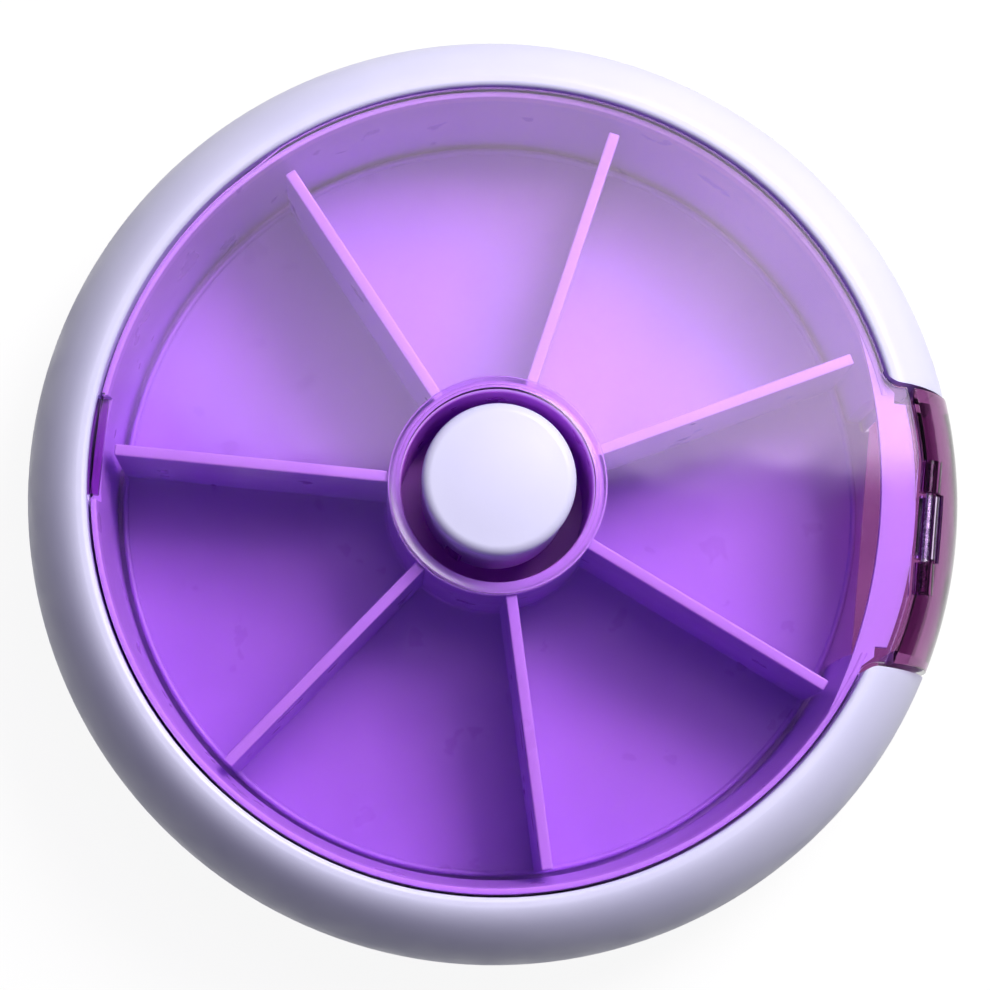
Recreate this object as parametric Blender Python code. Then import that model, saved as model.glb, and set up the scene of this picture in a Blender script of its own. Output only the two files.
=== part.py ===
# Rotating pill organizer, seven compartments. Metres, +Z up, the outlet faces +X.
# The origin is on the turning axis, at the level of the foot ring.
import math

import bmesh
import bpy
from mathutils import Matrix, Vector

# Driving dimensions
OUTER_RADIUS = 0.0450
HOUSING_HEIGHT = 0.0210
RIM_WIDTH = 0.0063  # of the white ring, seen from above
PARTING_HEIGHT = 0.0095
HOUSING_WALL = 0.0016
OUTLET_HALF_WIDTH = 0.0136
BUTTON_RADIUS = 0.00705
BUTTON_RISE = 0.0042  # top of the button above the white ring
BUTTON_TRAVEL = 0.0022
BUTTON_HEAD = 0.0032  # thickness of the button's head
WELL_WIDTH = 0.00205  # between the button and the hub
HUB_WALL = 0.0013
COMPARTMENTS = 7

# Clearances
FIT_GAP = 0.0003  # between pieces that rest on or beside each other
EDGE_GAP = 0.0004  # round the edges of the cover and the door
RUNNING_GAP = 0.0005  # round what turns or slides
OVERRUN = 0.0010  # by which a cutter passes a face
EMBED = 0.0005  # by which a boss runs into the wall that carries it

# Roundness
TURN_STEPS = 72
SMALL_STEPS = 36
ROD_SIDES = 16
PIN_SIDES = 12
SMOOTH_ANGLE = math.radians(35)

# Levels of the stack, from the foot ring up
FOOT_RECESS = 0.0003
BASE_FLOOR = 0.0013
BOWL_FLOOR = 0.0009
CAROUSEL_FLOOR = 0.0010
COVER_THICKNESS = 0.0011
COVER_RECESS = 0.0002  # cover's top below the top of the ring
FLOOR_TOP = FOOT_RECESS + BASE_FLOOR
BOWL_BOTTOM = FLOOR_TOP + FIT_GAP
BOWL_FLOOR_TOP = BOWL_BOTTOM + BOWL_FLOOR
CAROUSEL_BOTTOM = BOWL_FLOOR_TOP + EDGE_GAP
CAROUSEL_FLOOR_TOP = CAROUSEL_BOTTOM + CAROUSEL_FLOOR
COVER_TOP = HOUSING_HEIGHT - COVER_RECESS
COVER_UNDERSIDE = COVER_TOP - COVER_THICKNESS
HUB_TOP = COVER_UNDERSIDE - EDGE_GAP
DIVIDER_DROP = 0.0007  # of the dividers below the hub, clear of the cover's tab and hinge
DIVIDER_TOP = HUB_TOP - DIVIDER_DROP
BUTTON_TOP = HOUSING_HEIGHT + BUTTON_RISE

# Levels inside the hub, from the button's head down
SPRING_ROOM = 0.0080
POST_DROP = 0.0008  # of the post's top below the boss
SKIRT_OVERLAP = 0.0020  # of the button's skirt round the boss
HEAD_BOTTOM = BUTTON_TOP - BUTTON_HEAD
BOSS_TOP = HEAD_BOTTOM - SPRING_ROOM
POST_TOP = BOSS_TOP - POST_DROP
SKIRT_BOTTOM_LEVEL = BOSS_TOP - SKIRT_OVERLAP

# Levels of the stem's end, from the foot ring up
STEM_CLEARANCE = 0.0004  # under the stem when the button is pressed
STEM_TIP = 0.00045  # from the stem's end to the groove
GROOVE_HEIGHT = 0.0010
GROOVE_DEPTH = 0.0006
CLIP_THICKNESS = 0.0004
CLIP_STOP_GAP = 0.00035  # from the clip to the shoulder that stops it
STEM_BOTTOM = BUTTON_TRAVEL + STEM_CLEARANCE
GROOVE_BOTTOM = STEM_BOTTOM + STEM_TIP
GROOVE_MIDDLE = GROOVE_BOTTOM + GROOVE_HEIGHT / 2
STEM_RECESS_HEIGHT = GROOVE_MIDDLE + CLIP_THICKNESS / 2 + CLIP_STOP_GAP

# Radii of what stands inside the ring
RIM_OPENING_RADIUS = OUTER_RADIUS - RIM_WIDTH
COVER_RADIUS = RIM_OPENING_RADIUS - EDGE_GAP
BOWL_WALL = 0.0012
BOWL_RADIUS = RIM_OPENING_RADIUS - RUNNING_GAP
BOWL_INNER_RADIUS = BOWL_RADIUS - BOWL_WALL
CAROUSEL_RADIUS = BOWL_INNER_RADIUS - RUNNING_GAP
HUB_INNER_RADIUS = BUTTON_RADIUS + WELL_WIDTH
HUB_RADIUS = HUB_INNER_RADIUS + HUB_WALL

# Bearing in the middle: boss in the button's skirt, post in the boss, stem in the post
BUTTON_SKIRT_WALL = 0.0011
SKIRT_GAP = 0.0006
BOSS_WALL = 0.0010
BOSS_GAP = 0.00035
POST_WALL = 0.0014
STEM_GAP = 0.0004
STEM_RECESS_GAP = 0.0012  # round the stem where its clip sits
SKIRT_INNER_RADIUS = BUTTON_RADIUS - BUTTON_SKIRT_WALL
BOSS_RADIUS = SKIRT_INNER_RADIUS - SKIRT_GAP
BOSS_BORE_RADIUS = BOSS_RADIUS - BOSS_WALL
POST_RADIUS = BOSS_BORE_RADIUS - BOSS_GAP
POST_BORE_RADIUS = POST_RADIUS - POST_WALL
STEM_RADIUS = POST_BORE_RADIUS - STEM_GAP
STEM_RECESS_RADIUS = STEM_RADIUS + STEM_RECESS_GAP

# Housing curves
RING_STRAIGHT = 0.0030  # upright part of the side above the parting line
BASE_STRAIGHT = 0.0010  # upright part of the side below it
RING_SHOULDER_HEIGHT = HOUSING_HEIGHT - PARTING_HEIGHT - RING_STRAIGHT
RIM_LAND = 0.0009
RIM_ROUND = 0.0005
BASE_SHOULDER_HEIGHT = PARTING_HEIGHT - BASE_STRAIGHT
BASE_SHOULDER_WIDTH = 0.0060
BASE_FOOT_RADIUS = OUTER_RADIUS - BASE_SHOULDER_WIDTH
FOOT_RING_WIDTH = 0.0035
SHOULDER_STEPS = 7
INNER_SHOULDER_STEPS = 4
TOP_CENTRE_RADIUS = RIM_OPENING_RADIUS + RIM_LAND
RING_SHOULDER_LEVEL = HOUSING_HEIGHT - RING_SHOULDER_HEIGHT

# Screws and their posts
SCREW_ANGLES = [55, 130, 230, 305]
SCREW_INSET = 0.00405  # from the housing's outer side to the screws
SCREW_CIRCLE_RADIUS = OUTER_RADIUS - SCREW_INSET
SCREW_RADIUS = 0.00075
SCREW_HOLE_RADIUS = SCREW_RADIUS + FIT_GAP

# Hook hinge at the back of the cover
HOOK_AXIS_INSET = 0.0005  # from the cover's edge to the lifting axis
HOOK_AXIS_DEPTH = 0.00045  # from the cover's top to the lifting axis
HOOK_AXIS = Vector((HOOK_AXIS_INSET - COVER_RADIUS, 0, COVER_TOP - HOOK_AXIS_DEPTH))
SLOT_HALF_LENGTH = 0.0050
SLOT_WIDTH = 0.0008

# Door hinge at the outlet
DOOR_BARREL_RADIUS = 0.0010
DOOR_AXIS_BEYOND_RIM = 0.00235
DOOR_AXIS = Vector((RIM_OPENING_RADIUS + DOOR_AXIS_BEYOND_RIM, 0, COVER_TOP - DOOR_BARREL_RADIUS))
DOOR_PIN_RADIUS = 0.00035
DOOR_PIN_HALF_LENGTH = 0.0062
COVER_BARREL_HALF_LENGTH = 0.0030
DOOR_BARREL_END = 0.0064
TONGUE_REACH = 0.0015  # of the cover's tongue beyond the ring's opening
TONGUE_RADIUS = RIM_OPENING_RADIUS + TONGUE_REACH


def material(name, colour, roughness, metallic=0.0, alpha=1.0):
    made = bpy.data.materials.new(name)
    made.use_nodes = True
    shader = made.node_tree.nodes["Principled BSDF"]
    shader.inputs["Base Color"].default_value = (*colour, 1.0)
    shader.inputs["Roughness"].default_value = roughness
    shader.inputs["Metallic"].default_value = metallic
    shader.inputs["Alpha"].default_value = alpha
    made.diffuse_color = (*colour, alpha)
    return made


def white_plastic(name):
    return material(name + "_white_plastic", (0.80, 0.80, 0.90), 0.32)


def purple_plastic(name):
    return material(name + "_purple_plastic", (0.42, 0.16, 0.86), 0.30)


def tinted_plastic(name):
    return material(name + "_tinted_clear", (0.50, 0.22, 0.85), 0.08, alpha=0.35)


def spring_steel(name):
    return material(name + "_steel", (0.60, 0.60, 0.62), 0.25, metallic=1.0)


def arc(centre, half_sizes, start, end, steps):
    """Points along part of an ellipse, from start to end degrees."""
    points = []
    for step in range(steps + 1):
        angle = math.radians(start + (end - start) * step / steps)
        across = centre[0] + half_sizes[0] * math.cos(angle)
        up = centre[1] + half_sizes[1] * math.sin(angle)
        points.append((across, up))
    return points


def add_object(name, mesh_source, finish=None):
    """A named object that holds the bmesh, shaded smooth over its round faces."""
    mesh = bpy.data.meshes.new(name)
    bmesh.ops.recalc_face_normals(mesh_source, faces=mesh_source.faces[:])
    mesh_source.to_mesh(mesh)
    mesh_source.free()
    mesh.shade_smooth()
    mesh.set_sharp_from_angle(angle=SMOOTH_ANGLE)
    made = bpy.data.objects.new(name, mesh)
    bpy.context.scene.collection.objects.link(made)
    if finish:
        mesh.materials.append(finish)
    return made


def turned(name, profile, finish=None, steps=TURN_STEPS, closed=True):
    """A profile of (radius, height) points turned about Z. It runs down its outer side."""
    mesh = bpy.data.meshes.new(name)
    vertices = [(radius, 0, height) for radius, height in profile]
    edges = [(i, i + 1) for i in range(len(profile) - 1)]
    if closed:
        edges.append((len(profile) - 1, 0))
    mesh.from_pydata(vertices, edges, [])
    made = bpy.data.objects.new(name, mesh)
    bpy.context.scene.collection.objects.link(made)
    screw = made.modifiers.new("Turn", "SCREW")
    screw.axis = "Z"
    screw.steps = steps
    screw.render_steps = steps
    screw.use_merge_vertices = True
    screw.merge_threshold = 0.00001
    screw.use_smooth_shade = True
    if finish:
        mesh.materials.append(finish)
    return made


def swept(name, profile, start, sweep, steps, finish=None):
    """A profile of (radius, height) points swept about Z through part of a turn, with closed ends."""
    body = bmesh.new()
    turn = Matrix.Rotation(math.radians(start), 3, "Z")
    corners = [body.verts.new(turn @ Vector((radius, 0, height))) for radius, height in profile]
    body.faces.new(corners)
    bmesh.ops.spin(
        body,
        geom=body.faces[:] + body.edges[:] + body.verts[:],
        cent=(0, 0, 0),
        axis=(0, 0, 1),
        angle=math.radians(sweep),
        steps=steps,
    )
    return add_object(name, body, finish)


def raise_outline(body, outline, bottom, top):
    """Adds the solid between two levels whose plan is the outline."""
    corners = [body.verts.new((x, y, bottom)) for x, y in outline]
    floor = body.faces.new(corners)
    raised = bmesh.ops.extrude_face_region(body, geom=[floor])
    lifted = [item for item in raised["geom"] if isinstance(item, bmesh.types.BMVert)]
    bmesh.ops.translate(body, vec=(0, 0, top - bottom), verts=lifted)


def extruded(name, outline, bottom, top, finish=None):
    body = bmesh.new()
    raise_outline(body, outline, bottom, top)
    return add_object(name, body, finish)


def box_outline(low_x, high_x, low_y, high_y):
    return [(low_x, low_y), (high_x, low_y), (high_x, high_y), (low_x, high_y)]


def circle_outline(centre_x, centre_y, radius, sides):
    turn = 2 * math.pi / sides
    outline = []
    for side in range(sides):
        across = centre_x + radius * math.cos(turn * side)
        along = centre_y + radius * math.sin(turn * side)
        outline.append((across, along))
    return outline


def round_posts(name, places, radius, bottom, top, sides=ROD_SIDES):
    """Upright posts of one size, each a separate body of one helper object."""
    body = bmesh.new()
    for x, y in places:
        raise_outline(body, circle_outline(x, y, radius, sides), bottom, top)
    return add_object(name, body)


def cross_rod(name, centre, radius, low_y, high_y, finish=None, sides=ROD_SIDES):
    """A rod along Y through the centre."""
    body = bmesh.new()
    raise_outline(body, circle_outline(0, 0, radius, sides), low_y, high_y)
    lay_down = Matrix.Rotation(math.radians(-90), 4, "X")
    body.transform(Matrix.Translation((centre[0], 0, centre[2])) @ lay_down)
    return add_object(name, body, finish)


def cross_bar(name, side, half_length):
    """A bar along Y whose side view is a list of (x, height) points."""
    body = bmesh.new()
    ends = [[body.verts.new((x, y, z)) for x, z in side] for y in (-half_length, half_length)]
    near, far = ends
    body.faces.new(near)
    body.faces.new(list(reversed(far)))
    for number in range(len(side)):
        body.faces.new((near[number - 1], near[number], far[number], far[number - 1]))
    return add_object(name, body)


def polar(radius, degrees):
    angle = math.radians(degrees)
    return radius * math.cos(angle), radius * math.sin(angle)


def combine(target, helper, operation):
    """Joins the helper to the target, or cuts it from the target, and keeps it out of renders."""
    helper.hide_render = True
    helper.display_type = "WIRE"
    change = target.modifiers.new(helper.name, "BOOLEAN")
    change.operation = operation
    change.solver = "EXACT"
    change.object = helper


def join(target, *helpers):
    for helper in helpers:
        combine(target, helper, "UNION")


def cut(target, *helpers):
    for helper in helpers:
        combine(target, helper, "DIFFERENCE")


def move_origin(target, point):
    """Puts the origin on a joint's axis and leaves the shape where it is."""
    target.data.transform(Matrix.Translation(-point))
    target.location = point


def carry(parent, child):
    """Parents the child, both unturned, and leaves it where it is."""
    child.parent = parent
    child.location = child.location - parent.location


# Plan of the gap for the outlet, shared by the ring and the cover
CORNER_RADIUS = 0.0018  # rounding of the white ring's inner corners at the gap
CORNER_STEPS = 5
CORNER_Y = OUTLET_HALF_WIDTH + CORNER_RADIUS
CORNER_X = math.sqrt((RIM_OPENING_RADIUS + CORNER_RADIUS) ** 2 - CORNER_Y**2)
CORNER_ANGLE = math.degrees(math.atan2(CORNER_Y, CORNER_X))


def gap_corner(shrink):
    """The rounded corner at +Y, from the rim out to the straight side, drawn in by shrink."""
    radius = CORNER_RADIUS + shrink
    return arc((CORNER_X, CORNER_Y), (radius, radius), 180 + CORNER_ANGLE, 270, CORNER_STEPS)


def mirrored(points):
    """The points on the other side of the X axis, in reverse order."""
    return [(x, -y) for x, y in reversed(points)]


def gap_cutter(name):
    """Cuts the outlet gap, with its rounded corners, out of the ring."""
    corner = gap_corner(0)
    reach = OUTER_RADIUS + OVERRUN
    inner_x = corner[0][0] - EDGE_GAP
    side = [(inner_x, corner[0][1]), *corner, (reach, OUTLET_HALF_WIDTH)]
    return extruded(name, [*side, *mirrored(side)], 0, HOUSING_HEIGHT + OVERRUN)


def outlet_box(name, low_x, half_width, bottom, top):
    outline = box_outline(low_x, OUTER_RADIUS + OVERRUN, -half_width, half_width)
    return extruded(name, outline, bottom, top)


def ring_outside():
    """The white ring's outer side, from its inner rim over the top and down."""
    rim_centre = (RIM_OPENING_RADIUS + RIM_ROUND, HOUSING_HEIGHT - RIM_ROUND)
    rim = arc(rim_centre, (RIM_ROUND, RIM_ROUND), 180, 90, 2)
    half_sizes = (OUTER_RADIUS - TOP_CENTRE_RADIUS, RING_SHOULDER_HEIGHT)
    shoulder = arc((TOP_CENTRE_RADIUS, RING_SHOULDER_LEVEL), half_sizes, 90, 0, SHOULDER_STEPS)
    return [*rim, *shoulder]


# Lip and rebate that line the two shells up
LIP_HEIGHT = 0.0010
LIP_THICKNESS = 0.0005
SKIRT_RISE = 0.0022  # of the inner skirt's foot above the ring's lower edge
SKIRT_WALL = 0.0012
REBATE_RADIUS = OUTER_RADIUS - HOUSING_WALL + LIP_THICKNESS + FIT_GAP
RING_BOTTOM = PARTING_HEIGHT + FIT_GAP
REBATE_TOP = PARTING_HEIGHT + LIP_HEIGHT + 2 * FIT_GAP
SKIRT_BOTTOM = RING_BOTTOM + SKIRT_RISE

# Solid ends of both shells at the gap, in degrees from the outlet's middle
END_LEAD = 2.6  # degrees by which they start inside the gap
END_DEPTH = 4.4  # degrees by which they run on behind the gap's side
END_START = math.degrees(math.asin(OUTLET_HALF_WIDTH / OUTER_RADIUS)) - END_LEAD
END_STOP = math.degrees(math.asin(OUTLET_HALF_WIDTH / RIM_OPENING_RADIUS)) + END_DEPTH
END_SWEEP = END_STOP - END_START
END_STEPS = 2
FILL_INSET = 0.0006  # from the outer side to the filling

# Screw post in the ring
RING_POST_RADIUS = 0.0016
RING_POST_COVER = 0.0018  # from the top of the ring to the post's end inside its roof
RING_HOLE_COVER = 0.0050  # from the top of the ring to the end of the screw's hole
RING_POST_TOP = HOUSING_HEIGHT - RING_POST_COVER
RING_HOLE_TOP = HOUSING_HEIGHT - RING_HOLE_COVER

# Pocket in the ring for the cover's hook tab
HOOK_LIP = 0.0012  # thickness of the ring above the pocket
POCKET_DEPTH = 0.0014
POCKET_DROP = 0.0023


def join_ends(shell, name, profile):
    """Fills the shell on both sides of the gap."""
    join(shell, swept(name + "_end_a", profile, END_START, END_SWEEP, END_STEPS))
    join(shell, swept(name + "_end_b", profile, -END_START - END_SWEEP, END_SWEEP, END_STEPS))


def slot_box(name, low_x, high_x, bottom, top):
    """A box as long as the slot at the back of the cover."""
    outline = box_outline(low_x, high_x, -SLOT_HALF_LENGTH, SLOT_HALF_LENGTH)
    return extruded(name, outline, bottom, top)


def make_rim_ring():
    centre = (TOP_CENTRE_RADIUS, RING_SHOULDER_LEVEL)
    outer_across = OUTER_RADIUS - TOP_CENTRE_RADIUS
    across = outer_across - HOUSING_WALL
    half_sizes = (across, RING_SHOULDER_HEIGHT - HOUSING_WALL)
    skirt_outer = RIM_OPENING_RADIUS + SKIRT_WALL
    roof_end = math.degrees(math.acos((skirt_outer - TOP_CENTRE_RADIUS) / across))
    profile = [
        *ring_outside(),
        (OUTER_RADIUS, RING_BOTTOM),
        (REBATE_RADIUS, RING_BOTTOM),
        (REBATE_RADIUS, REBATE_TOP),
        (OUTER_RADIUS - HOUSING_WALL, REBATE_TOP),
        *arc(centre, half_sizes, 0, roof_end, INNER_SHOULDER_STEPS),
        (skirt_outer, SKIRT_BOTTOM),
        (RIM_OPENING_RADIUS, SKIRT_BOTTOM),
    ]
    ring = turned("rim_ring", profile, white_plastic("rim_ring"))
    skirt_middle = RIM_OPENING_RADIUS + SKIRT_WALL / 2
    fill_sizes = (outer_across - FILL_INSET, RING_SHOULDER_HEIGHT - FILL_INSET)
    filling = [
        (skirt_middle, HOUSING_HEIGHT - FILL_INSET),
        *arc(centre, fill_sizes, 90, 0, SHOULDER_STEPS),
        (OUTER_RADIUS - FILL_INSET, RING_BOTTOM),
        (skirt_middle, RING_BOTTOM),
    ]
    join_ends(ring, "ring", filling)
    places = [polar(SCREW_CIRCLE_RADIUS, angle) for angle in SCREW_ANGLES]
    join(ring, round_posts("ring_posts", places, RING_POST_RADIUS, RING_BOTTOM, RING_POST_TOP))
    pocket_top = HOUSING_HEIGHT - HOOK_LIP
    pocket_x = -RIM_OPENING_RADIUS - POCKET_DEPTH
    pocket_bottom = pocket_top - POCKET_DROP
    pocket = slot_box("hook_pocket", pocket_x, OVERRUN - RIM_OPENING_RADIUS, pocket_bottom, pocket_top)
    hole_bottom = RING_BOTTOM - OVERRUN
    holes = round_posts("ring_holes", places, SCREW_HOLE_RADIUS, hole_bottom, RING_HOLE_TOP)
    cut(ring, gap_cutter("ring_gap"), pocket, holes)
    return ring


# Base: post, screw blocks and studs
WASHER_SEAT_WIDTH = 0.0024
WASHER_SEAT_RISE = 0.0005
SCREW_BLOCK_SWEEP = 6.4  # degrees of the solid block round each screw
COUNTERBORE_RADIUS = 0.00165
COUNTERBORE_TOP = 0.0040
LIP_END_GAP = 0.00065  # from the lip to the ring's solid ends
LIP_CLEAR_HALF_WIDTH = REBATE_RADIUS * math.sin(math.radians(END_STOP)) + LIP_END_GAP
BOWL_STUD_RADIUS = 0.0011
BOWL_STUD_CIRCLE = 0.0240
BOWL_STUD_ANGLES = [80, 180, 280]
BASE_GAP_X = BOWL_INNER_RADIUS - EDGE_GAP / 4  # where the floor stops at the outlet


def base_outside():
    """The lower shell's outer side, from the parting line down to the foot ring."""
    half_sizes = (OUTER_RADIUS - BASE_FOOT_RADIUS, BASE_SHOULDER_HEIGHT)
    shoulder = arc((BASE_FOOT_RADIUS, BASE_SHOULDER_HEIGHT), half_sizes, 0, -90, SHOULDER_STEPS)
    return [(OUTER_RADIUS, PARTING_HEIGHT), *shoulder]


def make_base_shell():
    foot_inner = BASE_FOOT_RADIUS - FOOT_RING_WIDTH
    wall_inner = OUTER_RADIUS - HOUSING_WALL
    centre = (BASE_FOOT_RADIUS, BASE_SHOULDER_HEIGHT)
    half_sizes = (wall_inner - BASE_FOOT_RADIUS, BASE_SHOULDER_HEIGHT - FLOOR_TOP)
    lip_outer = wall_inner + LIP_THICKNESS
    lip_top = PARTING_HEIGHT + LIP_HEIGHT
    profile = [
        *base_outside(),
        (foot_inner, 0),
        (foot_inner - FOOT_RECESS, FOOT_RECESS),
        (STEM_RECESS_RADIUS, FOOT_RECESS),
        (STEM_RECESS_RADIUS, FLOOR_TOP),
        *arc(centre, half_sizes, -90, 0, INNER_SHOULDER_STEPS),
        (wall_inner, lip_top),
        (lip_outer, lip_top),
        (lip_outer, PARTING_HEIGHT),
    ]
    base = turned("base_shell", profile, white_plastic("base_shell"))
    seat_radius = POST_RADIUS + WASHER_SEAT_WIDTH
    middle = FOOT_RECESS + BASE_FLOOR / 2
    post_profile = [
        (POST_RADIUS, POST_TOP),
        (POST_RADIUS, FLOOR_TOP + WASHER_SEAT_RISE),
        (seat_radius, FLOOR_TOP + WASHER_SEAT_RISE),
        (seat_radius, middle),
        (STEM_RECESS_RADIUS - EMBED / 5, middle),
        (STEM_RECESS_RADIUS - EMBED / 5, STEM_RECESS_HEIGHT),
        (POST_BORE_RADIUS, STEM_RECESS_HEIGHT),
        (POST_BORE_RADIUS, POST_TOP),
    ]
    join(base, turned("base_post", post_profile, steps=SMALL_STEPS))
    fill_across = OUTER_RADIUS - BASE_FOOT_RADIUS - FILL_INSET
    fill_drop = BASE_SHOULDER_HEIGHT - FILL_INSET
    fill_top = PARTING_HEIGHT - EMBED / 5
    filling = [
        (OUTER_RADIUS - FILL_INSET, fill_top),
        *arc(centre, (fill_across, fill_drop), 0, -90, SHOULDER_STEPS),
        (RIM_OPENING_RADIUS, FILL_INSET),
        (RIM_OPENING_RADIUS, fill_top),
    ]
    join_ends(base, "base", filling)
    for angle in SCREW_ANGLES:
        start = angle - SCREW_BLOCK_SWEEP / 2
        join(base, swept("base_block_" + str(angle), filling, start, SCREW_BLOCK_SWEEP, 2))
    studs = [polar(BOWL_STUD_CIRCLE, angle) for angle in BOWL_STUD_ANGLES]
    join(base, round_posts("bowl_studs", studs, BOWL_STUD_RADIUS, middle, BOWL_FLOOR_TOP - FIT_GAP))
    leaf_studs = [polar(LEAF_CIRCLE_RADIUS, angle) for angle in LEAF_STUD_ANGLES]
    stud_top = LEAF_BOTTOM + LEAF_THICKNESS + FIT_GAP
    join(base, round_posts("leaf_studs", leaf_studs, LEAF_STUD_RADIUS, middle, stud_top))
    places = [polar(SCREW_CIRCLE_RADIUS, angle) for angle in SCREW_ANGLES]
    bores = round_posts("counterbores", places, COUNTERBORE_RADIUS, -OVERRUN, COUNTERBORE_TOP)
    hole_bottom = COUNTERBORE_TOP - EMBED
    holes = round_posts("base_holes", places, SCREW_HOLE_RADIUS, hole_bottom, PARTING_HEIGHT + OVERRUN)
    gap = outlet_box("base_gap", BASE_GAP_X, OUTLET_HALF_WIDTH, -OVERRUN, HOUSING_HEIGHT)
    lip_gap = outlet_box("lip_gap", 0, LIP_CLEAR_HALF_WIDTH, PARTING_HEIGHT, HOUSING_HEIGHT)
    cut(base, bores, holes, gap, lip_gap)
    return base


# Index leaf under the carousel
LEAF_ROOM = 0.0020  # from the washer's seat to the leaf
LEAF_HALF_WIDTH = 0.0012
LEAF_CIRCLE_RADIUS = POST_RADIUS + WASHER_SEAT_WIDTH + LEAF_ROOM + LEAF_HALF_WIDTH
LEAF_THICKNESS = 0.0003
LEAF_BOTTOM = FLOOR_TOP + FIT_GAP
LEAF_START = 95
LEAF_SWEEP = 165
LEAF_STEPS = 22
LEAF_STUD_ANGLES = [235, 250]
LEAF_STUD_RADIUS = 0.0005
LEAF_HOLE_RADIUS = LEAF_STUD_RADIUS + FIT_GAP
LEAF_BUMP_RADIUS = 0.0007
DIMPLE_STEP = 360 / COMPARTMENTS
LEAF_BUMP_ANGLE = 2 * DIMPLE_STEP
DIMPLE_RADIUS = 0.0013
DIMPLE_DEPTH = 0.0005


def make_index_leaf():
    inner = LEAF_CIRCLE_RADIUS - LEAF_HALF_WIDTH
    outer = LEAF_CIRCLE_RADIUS + LEAF_HALF_WIDTH
    top = LEAF_BOTTOM + LEAF_THICKNESS
    strip = [(outer, top), (outer, LEAF_BOTTOM), (inner, LEAF_BOTTOM), (inner, top)]
    leaf = swept("index_leaf", strip, LEAF_START, LEAF_SWEEP, LEAF_STEPS, spring_steel("index_leaf"))
    bump_place = [polar(LEAF_CIRCLE_RADIUS, LEAF_BUMP_ANGLE)]
    bump_bottom = LEAF_BOTTOM + LEAF_THICKNESS / 2
    bump = round_posts("leaf_bump", bump_place, LEAF_BUMP_RADIUS, bump_bottom, CAROUSEL_BOTTOM - FIT_GAP)
    join(leaf, bump)
    places = [polar(LEAF_CIRCLE_RADIUS, angle) for angle in LEAF_STUD_ANGLES]
    cut(leaf, round_posts("leaf_holes", places, LEAF_HOLE_RADIUS, 0, CAROUSEL_BOTTOM, PIN_SIDES))
    return leaf


# Slip washer on the base's seat
WASHER_THICKNESS = 0.0005


def make_slip_washer():
    inner = BOSS_BORE_RADIUS
    outer = POST_RADIUS + WASHER_SEAT_WIDTH - FIT_GAP
    bottom = FLOOR_TOP + WASHER_SEAT_RISE + FIT_GAP
    top = bottom + WASHER_THICKNESS
    finish = material("slip_washer_natural_plastic", (0.85, 0.84, 0.80), 0.45)
    return turned(
        "slip_washer",
        [(outer, top), (outer, bottom), (inner, bottom), (inner, top)],
        finish,
        steps=SMALL_STEPS,
    )


# Fixed bowl round the carousel
LEAF_BOWL_GAP = 0.0017
BOWL_HOLE_RADIUS = LEAF_CIRCLE_RADIUS + LEAF_HALF_WIDTH + LEAF_BOWL_GAP
STUD_HOLE_GAP = 0.0003
BOWL_MOUTH_HALF_WIDTH = OUTLET_HALF_WIDTH - 0.0012
HOOK_NOTCH_DROP = 0.0020  # notch in the bowl's wall below the hook tab


def make_tray_bowl():
    wall_top = COVER_UNDERSIDE - FIT_GAP
    profile = [
        (BOWL_RADIUS, wall_top),
        (BOWL_RADIUS, BOWL_BOTTOM),
        (BOWL_HOLE_RADIUS, BOWL_BOTTOM),
        (BOWL_HOLE_RADIUS, BOWL_FLOOR_TOP),
        (BOWL_INNER_RADIUS, BOWL_FLOOR_TOP),
        (BOWL_INNER_RADIUS, wall_top),
    ]
    bowl = turned("tray_bowl", profile, purple_plastic("tray_bowl"))
    studs = [polar(BOWL_STUD_CIRCLE, angle) for angle in BOWL_STUD_ANGLES]
    hole_radius = BOWL_STUD_RADIUS + STUD_HOLE_GAP
    holes = round_posts("bowl_stud_holes", studs, hole_radius, 0, CAROUSEL_BOTTOM)
    mouth_x = BOWL_INNER_RADIUS - 2 * BOWL_WALL
    mouth = outlet_box("bowl_mouth", mouth_x, BOWL_MOUTH_HALF_WIDTH, BOWL_FLOOR_TOP, HOUSING_HEIGHT)
    edge = outlet_box("bowl_edge", BASE_GAP_X, OUTLET_HALF_WIDTH, 0, HOUSING_HEIGHT)
    notch_x = OVERRUN - BOWL_INNER_RADIUS
    notch_bottom = wall_top - HOOK_NOTCH_DROP
    notch = slot_box("hook_notch", -OUTER_RADIUS, notch_x, notch_bottom, HOUSING_HEIGHT)
    cut(bowl, holes, mouth, edge, notch)
    return bowl


# Carousel: floor, hub, boss, dividers and keys
DIVIDER_THICKNESS = 0.0011
DIVIDER_INSET = 0.0001  # of the dividers' ends from the rim of the carousel
KEY_THICKNESS = 0.0011
KEY_DROP = 0.0006  # of the keys' tops below the boss
KEY_HEIGHT = 0.0054
KEY_TOP = BOSS_TOP - KEY_DROP
KEY_BOTTOM = KEY_TOP - KEY_HEIGHT
KEY_COUNT = 3
KEY_STEP = 360 / KEY_COUNT
KEY_GAP = 0.0003  # from a key's tip to the skirt's outer face
SLOT_SIDE_GAP = 0.0004


def spoke(body, inner, outer, thickness, bottom, top, degrees):
    """Adds an upright wall that runs outwards from the hub in the given direction."""
    half = thickness / 2
    turn = Matrix.Rotation(math.radians(degrees), 2)
    outline = [turn @ Vector(corner) for corner in box_outline(inner, outer, -half, half)]
    raise_outline(body, outline, bottom, top)


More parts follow.
